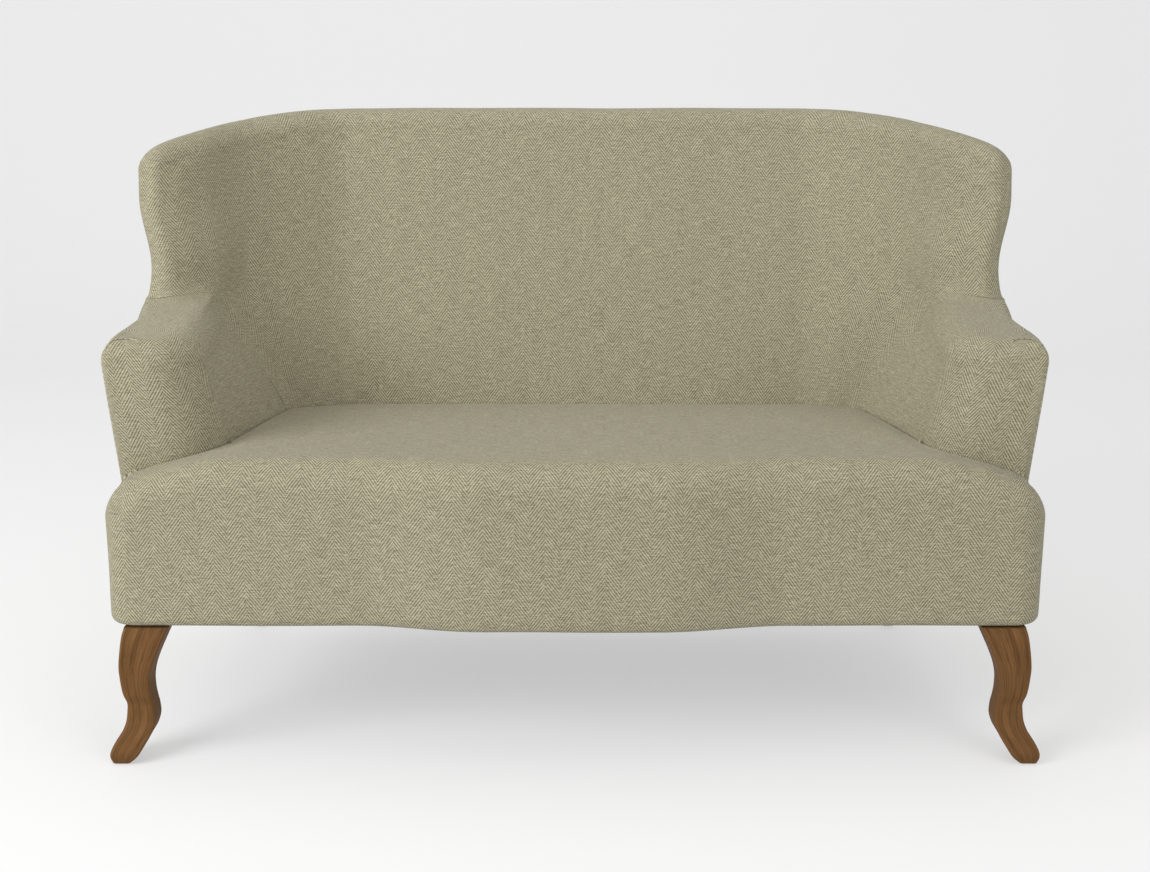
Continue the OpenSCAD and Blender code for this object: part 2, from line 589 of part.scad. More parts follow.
// Seat frame
rail_in = pad_in + border_pad_t + gap;
rail_end = 3 + acos((corner_r - rail_in - rail_t) / (corner_r - rail_in)) / 90;
rail_end_x = rim_plan(rail_end, rail_in)[0];
front_rail_rear = -seat_reach + rail_in + rail_t;
frame_in = cloth_t + rail_rise + 2 * gap;
frame_rear = rear_at(rail_low) - frame_in;
upright_front = frame_rear - upright_d;
upright_in = rear_leg_half - upright_t / 2;
upright_out = rear_leg_half + upright_t / 2;
rail_steps = 24;
module front_rail() {
  stations = mirrored(concat(below(seat_col_shares, rail_end), [rail_end]));
  front = [for (q = stations) let(p = rim_plan(abs(q), rail_in)) [q < 0 ? -p[0] : p[0], p[1]]];
  rear = [for (i = [rail_steps:-1:-rail_steps])
    let(x = rail_end_x * i / rail_steps) [x, front_y(x) + rail_in + rail_t]];
  color(frame_colour) translate([0, 0, rail_low]) linear_extrude(rail_h) polygon(concat(front, rear));
}
module rear_rail() {
  color(frame_colour) translate([gap - upright_in, frame_rear - rail_t, rail_low])
    cube([2 * (upright_in - gap), rail_t, rail_h]);
}
// Outer and inner faces of the side rail, sawn to the line of the outside cover
function side_rail_out(y) = min(side_rail_half, side_x(y, rail_low) - pad_in - gap);
function side_rail_in(y) = max(side_rail_out(y) - rail_t, upright_out + gap);
side_rail_steps = 10;
module side_rail_right() {
  y1 = front_rail_rear + gap;
  y2 = rear_at(rail_low) - rear_corner_r - 2 * gap;
  ys = [for (i = [0:side_rail_steps]) mix(y1, y2, i / side_rail_steps)];
  color(frame_colour) translate([0, 0, rail_low]) linear_extrude(rail_h)
    polygon(concat([for (y = ys) [side_rail_out(y), y]],
      [for (i = [side_rail_steps:-1:0]) [side_rail_in(ys[i]), ys[i]]]));
}
module side_rail_left() {
  left_of() side_rail_right();
}
module centre_brace() {
  y1 = front_y(0) + rail_in + rail_t + gap;
  color(frame_colour) translate([-brace_t / 2, y1, rail_low])
    cube([brace_t, frame_rear - rail_t - gap - y1, block_h]);
}
bolt_x = side_rail_half - rail_t - plate_w / 2 - gap;
bolt_y = front_rail_rear + plate_w / 2 + gap;
bolt_hole_d = bolt_d + 2 * gap;
module corner_blocks() {
  y1 = front_rail_rear + gap;
  y2 = frame_rear - rail_t - gap;
  y3 = upright_front - block_l / 2;
  x2 = upright_in - gap;
  color(frame_colour) translate([0, 0, rail_low]) both() {
    difference() {
      linear_extrude(block_h)
        polygon([[side_rail_in(y1) - gap, y1], [side_rail_in(y1 + block_l) - pad_in, y1 + block_l],
          [side_rail_in(y1) - block_l, y1]]);
      translate([bolt_x, bolt_y, -over]) cylinder(h = block_h + 2 * over, d = bolt_hole_d, $fn = 32);
    }
    linear_extrude(block_h) polygon([[x2, y2], [x2 - block_l, y2], [side_rail_in(y3) - pad_in, y3],
      [side_rail_in(upright_front) - gap, upright_front - gap], [x2, upright_front - gap]]);
  }
}
// Packings that widen the rails to the seat's front corners, ahead of the arms
module side_packings() {
  y1 = front_rail_rear + gap;
  y2 = side_rear_y - cloth_t - gap;
  x1 = side_rail_half + gap;
  color(frame_colour) translate([0, 0, rail_low]) both() translate([x1, y1, 0])
    cube([rail_end_x - x1, y2 - y1, rail_h]);
}
module leg_bolts() {
  nut_h_share = 0.8;
  nut_w_share = 1.6;
  z1 = rail_low + block_h + plate_t + gap;
  color(steel_colour) both() translate([bolt_x, bolt_y, 0]) {
    translate([0, 0, rail_low - bolt_deep])
      cylinder(h = z1 + bolt_d - rail_low + bolt_deep, d = bolt_d, $fn = 32);
    translate([0, 0, z1]) cylinder(h = bolt_d * nut_h_share, d = bolt_d * nut_w_share, $fn = 6);
  }
}
module leg_plates() {
  color(steel_colour) both() translate([bolt_x, bolt_y, rail_low + block_h]) difference() {
    translate([-plate_w / 2, -plate_w / 2, 0]) cube([plate_w, plate_w, plate_t]);
    translate([0, 0, -over]) cylinder(h = plate_t + 2 * over, d = bolt_hole_d, $fn = 32);
  }
}

// Front legs: a square section that follows the same double curve to the side and to the front
leg_top = under_h - gap;
leg_x = seat_half_w - leg_in_side;
leg_y = seat_reach - leg_in_front;
leg_height_shares = [0, 0.045, 0.09, 0.155, 0.21, 0.28, 0.36, 0.42, 0.5, 0.61, 0.73, 0.91, 1];
leg_out_shares = [0.9, 1, 0.97, 0.73, 0.45, 0.25, 0.17, 0.16, 0.31, 0.39, 0.41, 0.25, 0];
leg_in_shares = [0.97, 0.82, 0.72, 0.61, 0.51, 0.45, 0.455, 0.48, 0.505, 0.5, 0.41, 0.16, 0];
leg_rings = 26;
leg_last = len(leg_height_shares) - 1;
function leg_out(t) = spline(leg_out_shares, t);
function leg_in(t) = leg_w * (spline(leg_in_shares, t) - 1);
function leg_ring(t) = let(
  z = mix(glide_t, leg_top, spline(leg_height_shares, t)), a = leg_in(t), r = leg_edge_r,
  b = foot_kick * leg_out(t), f = -foot_kick_front * leg_out(t)
) [for (c = [[b - r, -a - r, 0], [a + r, -a - r, 90], [a + r, f + r, 180], [b - r, f + r, 270]])
  for (w = [0, 45, 90])
  [leg_x + c[0] + r * cos(c[2] + w), -leg_y + c[1] + r * sin(c[2] + w), z]];
module front_leg_right() {
  // A step on top passes inside the cover's lower edge and bears on the rails
  step_front = low_round_r + 2 * cloth_t + gap - seat_reach;
  color(leg_colour) difference() {
    union() {
      loft([for (i = [0:leg_rings]) leg_ring(leg_last * i / leg_rings)]);
      translate([leg_x - leg_w + leg_edge_r, step_front, leg_top - leg_edge_r])
        cube([leg_w - 2 * leg_edge_r, leg_w - leg_edge_r - leg_y - step_front,
          rail_low - gap - leg_top + leg_edge_r]);
    }
    translate([bolt_x, bolt_y, rail_low - bolt_deep - gap])
      cylinder(h = bolt_deep + over, d = bolt_hole_d, $fn = 32);
  }
}
module front_leg_left() {
  left_of() front_leg_right();
}
foot_x = leg_x + mix(leg_in(0), foot_kick * leg_out(0), 0.5);
foot_y = -leg_y - mix(leg_in(0), foot_kick_front * leg_out(0), 0.5);
rear_foot_y = frame_rear + rear_kick - rear_foot_d / 2;
module foot_glides() {
  color(lining_colour) both() {
    translate([foot_x, foot_y, 0]) cylinder(h = glide_t, d = glide_d, $fn = 32);
    translate([rear_leg_half, rear_foot_y, 0]) cylinder(h = glide_t, d = glide_d, $fn = 32);
  }
}

// Back frame: everything in front of it lies on the rear face of the back pad, where that is fullest
strap_in = 2 * strap_t + 4 * gap;
full_share = 0.6;
pad_rear_low = wall_in(full_share, 0, pad_in + pad_depth(full_share, 0));
pad_rear_high = wall_in(full_share, 1, pad_in + pad_depth(full_share, 1));
function pad_rear(z) = mix(pad_rear_low[1], pad_rear_high[1],
  (z - pad_rear_low[2]) / (pad_rear_high[2] - pad_rear_low[2]));
pad_lean = atan2(pad_rear_high[1] - pad_rear_low[1], pad_rear_high[2] - pad_rear_low[2]);
upright_top = overall_h - top_roll_r - pad_t;
module back_upright_right() {
  rear_top = rear_at(upright_top) - frame_in;
  profile = [
    [frame_rear + rear_kick, glide_t], [rear_at(under_h) - frame_in, under_h - gap], [rear_top, upright_top],
    [pad_rear(upright_top) + strap_in, upright_top], [pad_rear(tuck_h) + strap_in, tuck_h],
    [upright_front, rail_top], [upright_front, rail_low], [frame_rear + rear_kick - rear_foot_d, glide_t]
  ];
  front_view = [
    [-rear_foot_w / 2, glide_t], [rear_foot_w / 2, glide_t], [upright_t / 2, rail_low],
      [upright_t / 2, upright_top],
    [-upright_t / 2, upright_top], [-upright_t / 2, rail_low]
  ];
  color(frame_colour) translate([rear_leg_half, 0, 0]) intersection() {
    translate([-upright_t / 2, 0, 0]) rotate([90, 0, 90]) linear_extrude(upright_t) polygon(profile);
    translate([0, frame_rear * 2, 0]) rotate([90, 0, 0]) linear_extrude(frame_rear * 2) polygon(front_view);
  }
}
module back_upright_left() {
  left_of() back_upright_right();
}
module back_rail(z) {
  color(frame_colour) translate([gap - upright_in, pad_rear(z) + strap_in, z]) rotate([-pad_lean, 0, 0])
    cube([2 * (upright_in - gap), board_t, board_h]);
}
top_rail_low = upright_top - board_h;
module back_top_rail() {
  back_rail(top_rail_low);
}
module back_stay_rail() {
  back_rail(tuck_h);
}
module back_webbing() {
  long = (upright_top - tuck_h) / cos(pad_lean);
  span = 2 * (upright_out - board_t - 2 * gap);
  reach = 2 * upright_in - 3 * strap_w;
  color(hessian_colour) translate([0, pad_rear(tuck_h), tuck_h]) rotate([-pad_lean, 0, 0]) {
    for (i = [0:strap_count - 1])
      translate([reach * (i / (strap_count - 1) - 0.5) - strap_w / 2, 2 * gap, 0])
        cube([strap_w, strap_t, long - gap]);
    for (i = [1:cross_count])
      translate([-span / 2, 3 * gap + strap_t, board_h + (long - 2 * board_h) * i / (cross_count + 1)
        - strap_w / 2])
        cube([span, strap_t, strap_w]);
  }
}

// Arm and wing frame
arm_in_total = pad_in + pad_t + gap;
post_in_share = 0.55;
stump_y = arm_in_total + 2 * gap - arm_reach;
stump_rear = stump_y + board_t;
stump_top = arm_h - arm_in_total - arm_edge_r;
function stump_out(z) = side_x(stump_rear, z) - pad_in - gap;
function stump_in(z) = arm_in_x(z) + arm_nose_r;
module arm_stump_right() {
  z1 = rail_top + gap;
  cut = arm_h - arm_edge_h + arm_edge_r;
  z2 = stump_top - 2 * cut;
  z3 = arm_h - arm_roll_r;
  color(frame_colour) translate([0, stump_rear, 0]) rotate([90, 0, 0]) linear_extrude(board_t) polygon([
    [stump_in(z1), z1], [stump_out(z1), z1], [stump_out(z2), z2], [stump_out(stump_top) - cut, stump_top],
    [stump_in(z3), stump_top], [stump_in(z3), z3], [stump_in(seat_back_h), seat_back_h]
  ]);
}
module arm_stump_left() {
  left_of() arm_stump_right();
}
arm_rail_in = stump_in(stump_top);
wing_post_x = wing_half_w - wing_waist_in - wing_nose_w * post_in_share;
wing_post_top = overall_h - wing_drop - top_roll_r - pad_t;
function wing_post_y(z) = nose_y(z) + wing_nose_d + rail_rise;
module arm_rail_right() {
  y1 = stump_rear + gap;
  y2 = upright_front + board_h;
  y3 = wing_post_y(stump_top) + wing_post_d;
  x2 = upright_out + gap;
  color(frame_colour) translate([0, 0, stump_top - board_t]) linear_extrude(board_t) polygon([
    [arm_rail_in, y1], [arm_rail_in + arm_rail_w, y1], [wing_post_x + board_t + gap, y3],
      [x2 + board_t, y2], [x2, y2],
    [x2, pad_rear(stump_top - board_t)]
  ]);
}
module arm_rail_left() {
  left_of() arm_rail_right();
}
module arm_stay_rail_right() {
  y1 = stump_rear + gap;
  y2 = pad_rear(seat_back_h) + strap_in - gap;
  x1 = stump_in(seat_back_h + board_h);
  color(frame_colour) translate([0, 0, seat_back_h]) linear_extrude(board_h)
    polygon([[x1, y1], [x1 + board_t, y1], [upright_out, y2], [upright_out - board_t, y2]]);
}
module arm_stay_rail_left() {
  left_of() arm_stay_rail_right();
}
module wing_post_right() {
  z1 = stump_top + gap;
  long = (wing_post_top - z1) / cos(wing_rake);
  color(frame_colour) intersection() {
    translate([wing_post_x, wing_post_y(z1), z1]) rotate([-wing_rake, 0, 0])
      translate([0, 0, -board_h]) cube([board_t, wing_post_d, long + 2 * board_h]);
    translate([wing_post_x - over, -arm_reach, z1])
      cube([board_t + 2 * over, 2 * arm_reach, wing_post_top - z1]);
  }
}
module wing_post_left() {
  left_of() wing_post_right();
}
module wing_rail_right() {
  z1 = wing_post_top - board_h;
  y1 = wing_post_y(wing_post_top) + wing_post_d / cos(wing_rake) + gap;
  y2 = pad_rear(z1) + strap_in - gap;
  color(frame_colour) translate([0, 0, z1]) linear_extrude(board_h - gap)
    polygon([[wing_post_x, y1], [wing_post_x + board_t, y1], [upright_out, y2], [upright_out - board_t, y2]]);
}
module wing_rail_left() {
  left_of() wing_rail_right();
}

// Seat springs, their clips and tie wires, and the hessian over them
clip_wall = 1.2;
clip_bore_d = spring_wire * sqrt(2) + 2 * gap;
clip_h = clip_bore_d + 2 * clip_wall;
clip_w = 16;
spring_z = rail_top + gap + clip_h / 2;
spring_front = front_rail_rear - bow - rail_t / 2;
spring_rear = frame_rear - rail_t / 2;
function spring_x(i) = (upright_in - spring_edge_in) * (2 * i / (spring_count - 1) - 1);
function spring_start(x) = front_y(x) + rail_in + rail_t / 2;
bend_steps = 3;
// One side of the wire: a bar at each end and half-round bends between, dr sets the side
module sinuous(length) {
  pitch = length / bend_count;
  r = pitch / 2;
  half = spring_w / 2 - r;
  function bend(i, dr) = let(side = i % 2 == 0 ? 1 : -1, rr = r + side * dr)
    [for (k = [0:bend_steps]) let(a = 180 * k / bend_steps)
      [side * (half + rr * sin(a)), pitch * (i + 0.5) - rr * cos(a)]];
  w = spring_wire / 2;
  outer = [for (i = [0:bend_count - 1]) each bend(i, w)];
  inner = [for (i = [bend_count - 1:-1:0]) let(b = bend(i, -w)) each [for (k = [bend_steps:-1:0]) b[k]]];
  linear_extrude(spring_wire)
    polygon(concat([[-half, -w]], outer, [[half, length - w], [half, length + w]], inner, [[-half, w]]));
}
module seat_springs() {
  color(steel_colour) for (i = [0:spring_count - 1]) let(x = spring_x(i), y = spring_start(x))
    translate([x, y, spring_z - spring_wire / 2]) sinuous(spring_rear - y);
}
module spring_clips() {
  module clip(x, y) {
    translate([x, y, spring_z]) difference() {
      translate([-clip_w / 2, -clip_h / 2, -clip_h / 2]) cube([clip_w, clip_h, clip_h]);
      translate([-clip_w / 2 - over, 0, 0]) rotate([0, 90, 0])
        cylinder(h = clip_w + 2 * over, d = clip_bore_d, $fn = 16);
    }
  }
  color(steel_colour) for (i = [0:spring_count - 1]) let(x = spring_x(i)) {
    clip(x, spring_start(x));
    clip(x, spring_rear);
  }
}
tie_shares = [0.3, 0.5, 0.7];
module spring_tie_wires() {
  half = spring_x(spring_count - 1) + spring_w / 2;
  color(steel_colour) for (t = tie_shares)
    translate([-half, mix(spring_front, spring_rear, t), spring_z + spring_wire / 2 + gap + tie_d / 2])
      rotate([0, 90, 0]) cylinder(h = 2 * half, d = tie_d, $fn = 16);
}
hessian_z = max(spring_z + clip_h / 2, spring_z + spring_wire / 2 + gap + tie_d) + gap;
hessian_half = upright_in - 2 * clip_wall;
hessian_side = stump_in(seat_back_h) - clip_wall;
foam_low = hessian_z + strap_t + gap;
module seat_hessian() {
  y2 = side_rear_y;
  y3 = spring_rear + clip_w / 2;
  y4 = upright_front - clip_wall;
  color(hessian_colour) translate([0, 0, hessian_z]) linear_extrude(strap_t) polygon(concat(
    [for (i = [-rail_steps:rail_steps]) let(x = side_rail_half * i / rail_steps)
      [x, front_y(x) + rail_in + rail_t / 4]],
    [[side_rail_half, y2], [hessian_side, y2], [hessian_side, y4], [hessian_half, y4], [hessian_half, y3]],
    [[-hessian_half, y3], [-hessian_half, y4], [-hessian_side, y4], [-hessian_side, y2],
      [-side_rail_half, y2]]));
}
foam_edge = 4;
module seat_foam() {
  cols = mirrored(below(seat_col_shares, 5));
  function at(q, v) = let(
    u = v < 1 ? (foam_low + foam_edge - under_h) / (seat_shoulder(abs(q)) - under_h) : v,
    p = seat_in(q, u, abs(q) < front_end_share ? pad_in : pad_in + 3 * gap)
  ) abs(q) < front_end_share ? p : p - [0, (foam_edge + pad_in) * clamped(2 * v - 3), 0];
  rows = [for (v = seat_row_shares) if (v == 0 || v >= 1) v];
  last = len(rows) - 1;
  top = [for (v = rows) [for (q = cols) at(q, v)]];
  // The foam's lower edge is bevelled
  function low_at(j, k) = let(a = top[0][j], b = top[last][j], p = mix(a + unit(b - a) * foam_edge, b, k))
    [p[0], p[1], foam_low];
  low = [for (i = [0:last]) [for (j = [0:len(cols) - 1]) low_at(j, i / last)]];
  color(foam_colour) sheet(low, top);
}
border_row_shares = [0.14, 1];
module seat_border_pad() {
  cols = mirrored(below(seat_col_shares, 5));
  function at(q, v, d) = seat_in(q, v * (rail_top - under_h) / (seat_shoulder(abs(q)) - under_h), d);
  color(foam_colour) sheet([for (v = border_row_shares) [for (q = cols) at(q, v, pad_in + border_pad_t)]],
    [for (v = border_row_shares) [for (q = cols) at(q, v, pad_in + gap)]]);
}
module dust_cover() {
  inset = low_round_r + cloth_t + gap;
  side_in = cloth_t + 2 * gap;
  leg_cut = leg_w + 2 * pad_in;
  post_cut = [upright_t + 2 * pad_in, upright_d + 2 * pad_in];
  front = [for (i = [0:rail_steps / 2]) rim_plan(8 * i / rail_steps, inset)];
  side = [for (i = [0:side_rail_steps])
    let(y = mix(side_rear_y, rear_at(under_h) - rear_corner_r, i / side_rail_steps))
    [min(side_x(y, under_h) - side_in, side_rail_half - gap), y]];
  rear = [[rear_half_w - rear_corner_r, rear_at(under_h) - side_in]];
  notch_y = side_rear_y - side_in;
  half = concat(front, [[seat_half_w - inset, notch_y], [side_rail_half - gap, notch_y]], side, rear);
  color(lining_colour) translate([0, 0, rail_low - 2 * gap - strap_t]) linear_extrude(strap_t) difference() {
    polygon(concat(half, [for (i = [len(half) - 1:-1:1]) [-half[i][0], half[i][1]]]));
    for (side = [-1, 1]) {
      translate([side * (leg_x - leg_w / 2) - leg_cut / 2, -leg_y - pad_in]) square([leg_cut, leg_cut]);
      translate([side * rear_leg_half - post_cut[0] / 2, upright_front - pad_in]) square(post_cut);
    }
  }
}

front_leg_left();
front_leg_right();
back_upright_left();
back_upright_right();
foot_glides();
leg_bolts();
leg_plates();
front_rail();
rear_rail();
side_rail_left();
side_rail_right();
centre_brace();
corner_blocks();
side_packings();
arm_stump_left();
arm_stump_right();
arm_rail_left();
arm_rail_right();
arm_stay_rail_left();
arm_stay_rail_right();
wing_post_left();
wing_post_right();
wing_rail_left();
wing_rail_right();
back_top_rail();
back_stay_rail();
seat_springs();
spring_clips();
spring_tie_wires();
seat_hessian();
seat_foam();
seat_border_pad();
seat_cover();
back_webbing();
back_pad();
arm_pad_left();
arm_pad_right();
inside_back_cover();
inside_arm_cover_left();
inside_arm_cover_right();
outside_arm_cover_left();
outside_arm_cover_right();
outside_wing_cover_left();
outside_wing_cover_right();
outside_back_cover();
dust_cover();
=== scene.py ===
"""High back settee: upholstery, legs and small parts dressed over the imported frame."""
import json
import math

import bpy
import numpy as np
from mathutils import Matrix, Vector, bvhtree, kdtree, noise

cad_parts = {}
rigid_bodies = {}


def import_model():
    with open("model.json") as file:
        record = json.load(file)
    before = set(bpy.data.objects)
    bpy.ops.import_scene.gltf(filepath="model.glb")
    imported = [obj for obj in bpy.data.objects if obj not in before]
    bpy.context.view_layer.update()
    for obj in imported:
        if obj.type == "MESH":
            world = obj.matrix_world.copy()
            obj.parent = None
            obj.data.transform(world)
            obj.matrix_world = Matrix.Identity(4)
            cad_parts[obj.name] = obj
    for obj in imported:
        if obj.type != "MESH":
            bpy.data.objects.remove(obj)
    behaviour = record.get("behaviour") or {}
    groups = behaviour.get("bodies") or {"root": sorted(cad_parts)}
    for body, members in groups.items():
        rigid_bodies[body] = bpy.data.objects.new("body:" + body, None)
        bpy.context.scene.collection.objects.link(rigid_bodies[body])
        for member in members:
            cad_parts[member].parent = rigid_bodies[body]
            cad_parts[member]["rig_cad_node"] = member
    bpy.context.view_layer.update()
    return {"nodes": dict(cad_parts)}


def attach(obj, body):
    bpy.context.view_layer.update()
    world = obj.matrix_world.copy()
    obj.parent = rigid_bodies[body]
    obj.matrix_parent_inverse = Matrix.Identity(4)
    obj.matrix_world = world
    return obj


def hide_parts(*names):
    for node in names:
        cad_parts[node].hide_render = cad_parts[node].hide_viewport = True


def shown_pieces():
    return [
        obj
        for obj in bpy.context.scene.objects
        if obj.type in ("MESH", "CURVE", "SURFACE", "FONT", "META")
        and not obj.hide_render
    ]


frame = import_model()
MM = 0.001

# ---------------------------------------------------------------- sizes of the upholstered forms
# In millimetres. Right is +X, the front faces -Y, and the feet stand at Z 0, as in the frame.
ARM_HALF, UNDER_H, CLOTH, GAP = 750.0, 221.0, 1.6, 0.3
SEAT_HALF, WING_HALF, REAR_HALF = ARM_HALF - 7, ARM_HALF - 1, ARM_HALF - 95
SEAT_REACH, BOW, BOW_HALF, BOW_EASE = 344.0, 30.0, 140.0, 205.0
CREST_R, CORNER_R, SIDE_DROP = 46.0, 48.0, 52.0
SEAT_H = UNDER_H + 270
SEAT_BACK_H = SEAT_H - 13
SEAT_LEVEL_HALF = SEAT_HALF - 223
BACK_SEAT_Y, RAKE, TOP_ROLL_R, WING_DROP = 142.0, 14.0, 40.0, 84.0
JOIN_LOW, JOIN_HIGH = ARM_HALF - 233, ARM_HALF - 170
FLAT_LOW, FLAT_HIGH = JOIN_LOW - 117, JOIN_HIGH - 170
AHEAD_LOW, AHEAD_HIGH = 51.0, 92.0
WING_FRONT_Y = BACK_SEAT_Y - 152
WING_RAKE, NOSE_W, NOSE_D, WING_EDGE_D = 11.0, 104.0, 52.0, 18.0
TURN_X_SHARE, TURN_Y_SHARE, NOSE_MID_SHARE = 0.5, 0.38, 0.4
TOP_DROP_SHARES = [0, 0.01, 0.09, 0.215, 0.375, 0.6, 0.825, 1.0]
WING_TOP_STEP, EDGE_FADE = 22.0, 90.0
ARM_REACH = SEAT_REACH - 91
ARM_H = SEAT_H + 173
ARM_REAR_H = ARM_H + 26
ARM_EDGE_H, ARM_EDGE_MID_H = ARM_H - 28, ARM_REAR_H - 31
EDGE_RISE, FLARE, FLARE_LEN, ARM_LEAN = 80.0, 14.0, 150.0, 6.0
ARM_IN_LOW, ARM_IN_HIGH = ARM_HALF - 183, ARM_HALF - 152
NOSE_R, ARM_ROLL_R, FRONT_ROLL_R, EDGE_R = 84.0, 46.0, 22.0, 12.0
REAR_SHARE = 0.997
REAR_Y, REAR_RAKE, REAR_FALL, REAR_CORNER_R = BACK_SEAT_Y + 128, 7.6, 20.0, 30.0
WAIST_IN, WAIST_H, WAIST_SPAN = 20.0, ARM_REAR_H + 52, 125.0
OVERALL_H = ARM_REAR_H + 313
TUCK_H = SEAT_BACK_H - 8
ROLL_SHARE = 0.46
ARM_FOOT_H = SEAT_H - SIDE_DROP - CREST_R - 20 + 2 * GAP
FOAM_LOW = ARM_FOOT_H + 10.2
CREASE_RISE = 0.6
SEAT_FOOT_R, SEAT_TUCK, SEAT_REAR_IN = 14.0, 3.0, 44.4


def clamped(t):
    return min(1.0, max(0.0, t))


def eased(t):
    c = clamped(t)
    return c * c * (3 - 2 * c)


def mix(a, b, t):
    return a + (b - a) * t


def tan(deg):
    return math.tan(math.radians(deg))


def spline(points, t):
    """Smooth curve through a row of numbers or points; t counts them from 0."""
    i = max(0, min(int(math.floor(t)), len(points) - 2))
    f = t - i
    a, b, c, d = points[max(i - 1, 0)], points[i], points[i + 1], points[min(i + 2, len(points) - 1)]
    return (2 * b + (c - a) * f + (2 * a - 5 * b + 4 * c - d) * f * f + (3 * b - a - 3 * c + d) * f ** 3) / 2


def roll_fall(dist, r):
    """How far a round of radius r has fallen at a distance from its edge: r at the edge, nothing past r."""
    d = min(max(dist, 0.0), r)
    return r - math.sqrt(max(0.0, r * r - (r - d) * (r - d)))


def roll_way(r, d, k):
    """Share of the way d at station k: the first half of the stations follows a round of radius r."""
    return r / d * (1 - math.cos(math.pi * k)) if k < 0.5 else mix(r / d, 1, (k - 0.5) * 2)


# ---------------------------------------------------------------- inside back and wings
def back_y(z):
    return BACK_SEAT_Y + (z - SEAT_BACK_H) * tan(RAKE)


def nose_y(z):
    """Front of the wing at a height."""
    return WING_FRONT_Y + (z - ARM_REAR_H) * tan(WING_RAKE)


def edge_x(z):
    """Outer edge of the wing, drawn in at its waist."""
    a = abs(z - WAIST_H) / WAIST_SPAN
    return WING_HALF - WAIST_IN * ((1 + math.cos(math.pi * a)) / 2 if a < 1 else 0)


def plan_at(s, z):
    """Plan of the inside back at a height: flat for s 0 to 1, turned to 3, then the wing to its edge at 7."""
    k = clamped((z - SEAT_BACK_H) / (ARM_REAR_H - SEAT_BACK_H))
    yb, fx = back_y(z), mix(FLAT_LOW, FLAT_HIGH, k)
    jx, jy = mix(JOIN_LOW, JOIN_HIGH, k), yb - mix(AHEAD_LOW, AHEAD_HIGH, k)
    ax, ay = mix(jx, ARM_IN_LOW, 0.3), mix(jy, NOSE_R - ARM_REACH, 0.3)
    ex, ny = edge_x(z), nose_y(z)
    turn, turn_y = (jx - fx) * TURN_X_SHARE, mix(yb, jy, TURN_Y_SHARE)
    if s < 1:
        return np.array((fx * s, yb))
    return spline([np.array(p) for p in (
        (fx - turn, turn_y), (fx, yb), (fx + turn, turn_y), (jx, jy),
        (mix(ax, ex - NOSE_W, k), mix(ay, ny + NOSE_D, k)), (ex - NOSE_W * NOSE_MID_SHARE, ny),
        (ex - NOSE_W * 0.1, ny + WING_EDGE_D * 0.3), (ex, ny + WING_EDGE_D))], s)


def wall_top(s):
    """Height of the top edge, which drops over the wing."""
    return OVERALL_H - WING_DROP * spline(TOP_DROP_SHARES, s)


def rear_at(z):
    return REAR_Y + (z - UNDER_H) * tan(REAR_RAKE)


def wing_outer_y(z):
    return nose_y(z) + WING_EDGE_D


WING_FOOT_Y = wing_outer_y(ARM_REAR_H)


def side_share(y, z, front):
    return clamped((y - front) / (rear_at(z) - REAR_CORNER_R - front))


def arm_edge_x(z):
    return ARM_HALF - (ARM_EDGE_H - z) * tan(ARM_LEAN)


def arm_top(y):
    return mix(ARM_H, ARM_REAR_H, clamped((y + ARM_REACH) / (WING_FRONT_Y + ARM_REACH)) ** 1.6)


def arm_edge(y):
    return mix(mix(ARM_EDGE_H, ARM_EDGE_MID_H, eased((y + ARM_REACH) / EDGE_RISE)), ARM_REAR_H,
               eased((y + EDGE_FADE) / (WING_FOOT_Y + EDGE_FADE)))


def side_x(y, z):
    base = min(arm_edge_x(z), ARM_HALF) - FLARE
    flare = (1 - clamped((y + ARM_REACH) / FLARE_LEN)) ** 2
    return mix(base, REAR_HALF, side_share(y, z, -ARM_REACH) ** 3.2) + FLARE * flare


def wing_side_x(y, z):
    return mix(edge_x(z), REAR_HALF, side_share(y, z, wing_outer_y(z)) ** 2.4)


def top_outer_z(s):
    return wall_top(s) - REAR_FALL * eased((7 - s) / 4)


def rear_plan(s, z):
    """Plan of the outside back at a height, s 0 in the middle to 3 past the rear corner."""
    yr = rear_at(z)
    return spline([np.array(p) for p in (
        (0.0, yr), (FLAT_HIGH, yr), (REAR_HALF - REAR_CORNER_R, yr), (REAR_HALF, yr - REAR_CORNER_R))], s)


def top_outer(s):
    """Where the cloth ends that comes over the top edge."""
    z = top_outer_z(s)
    if s <= 3:
        return rear_plan(s, z)
    y = mix(rear_at(z) - REAR_CORNER_R, wing_outer_y(z) + WING_TOP_STEP, (s - 3) / 4)
    return np.array((wing_side_x(y, z), y))


def crease_z(s):
    return arm_top(plan_at(s, ARM_REAR_H)[1]) + CREASE_RISE


def face_low(s):
    """Foot of the inside back: tucked behind the seat, then up the arm's rear, then over the arm's top."""
    if s < 3:
        return TUCK_H
    return mix(TUCK_H, crease_z(4), s - 3) if s < 4 else crease_z(s)


def wall_roll(s):
    return min(TOP_ROLL_R, np.linalg.norm(top_outer(s) - plan_at(s, wall_top(s) - TOP_ROLL_R)) * ROLL_SHARE)


def wall(s, v):
    """Inside back and wings: s runs across (-7 to 7), v up the face (0 to 1) and over the top (1 to 2)."""
    a, r = abs(s), wall_roll(abs(s))
    if v <= 1:
        z = mix(face_low(a), wall_top(a) - r, v)
        p = plan_at(a, z)
    else:
        f, o = plan_at(a, wall_top(a) - r), top_outer(a)
        d = np.linalg.norm(o - f)
        t = roll_way(r, d, v - 1)
        p = mix(f, o, t)
        flat_share = clamped((t * d - r) / (d - r))
        z = wall_top(a) - roll_fall(t * d, r) - (wall_top(a) - top_outer_z(a)) * flat_share
    return (-p[0] if s < 0 else p[0], p[1], z)


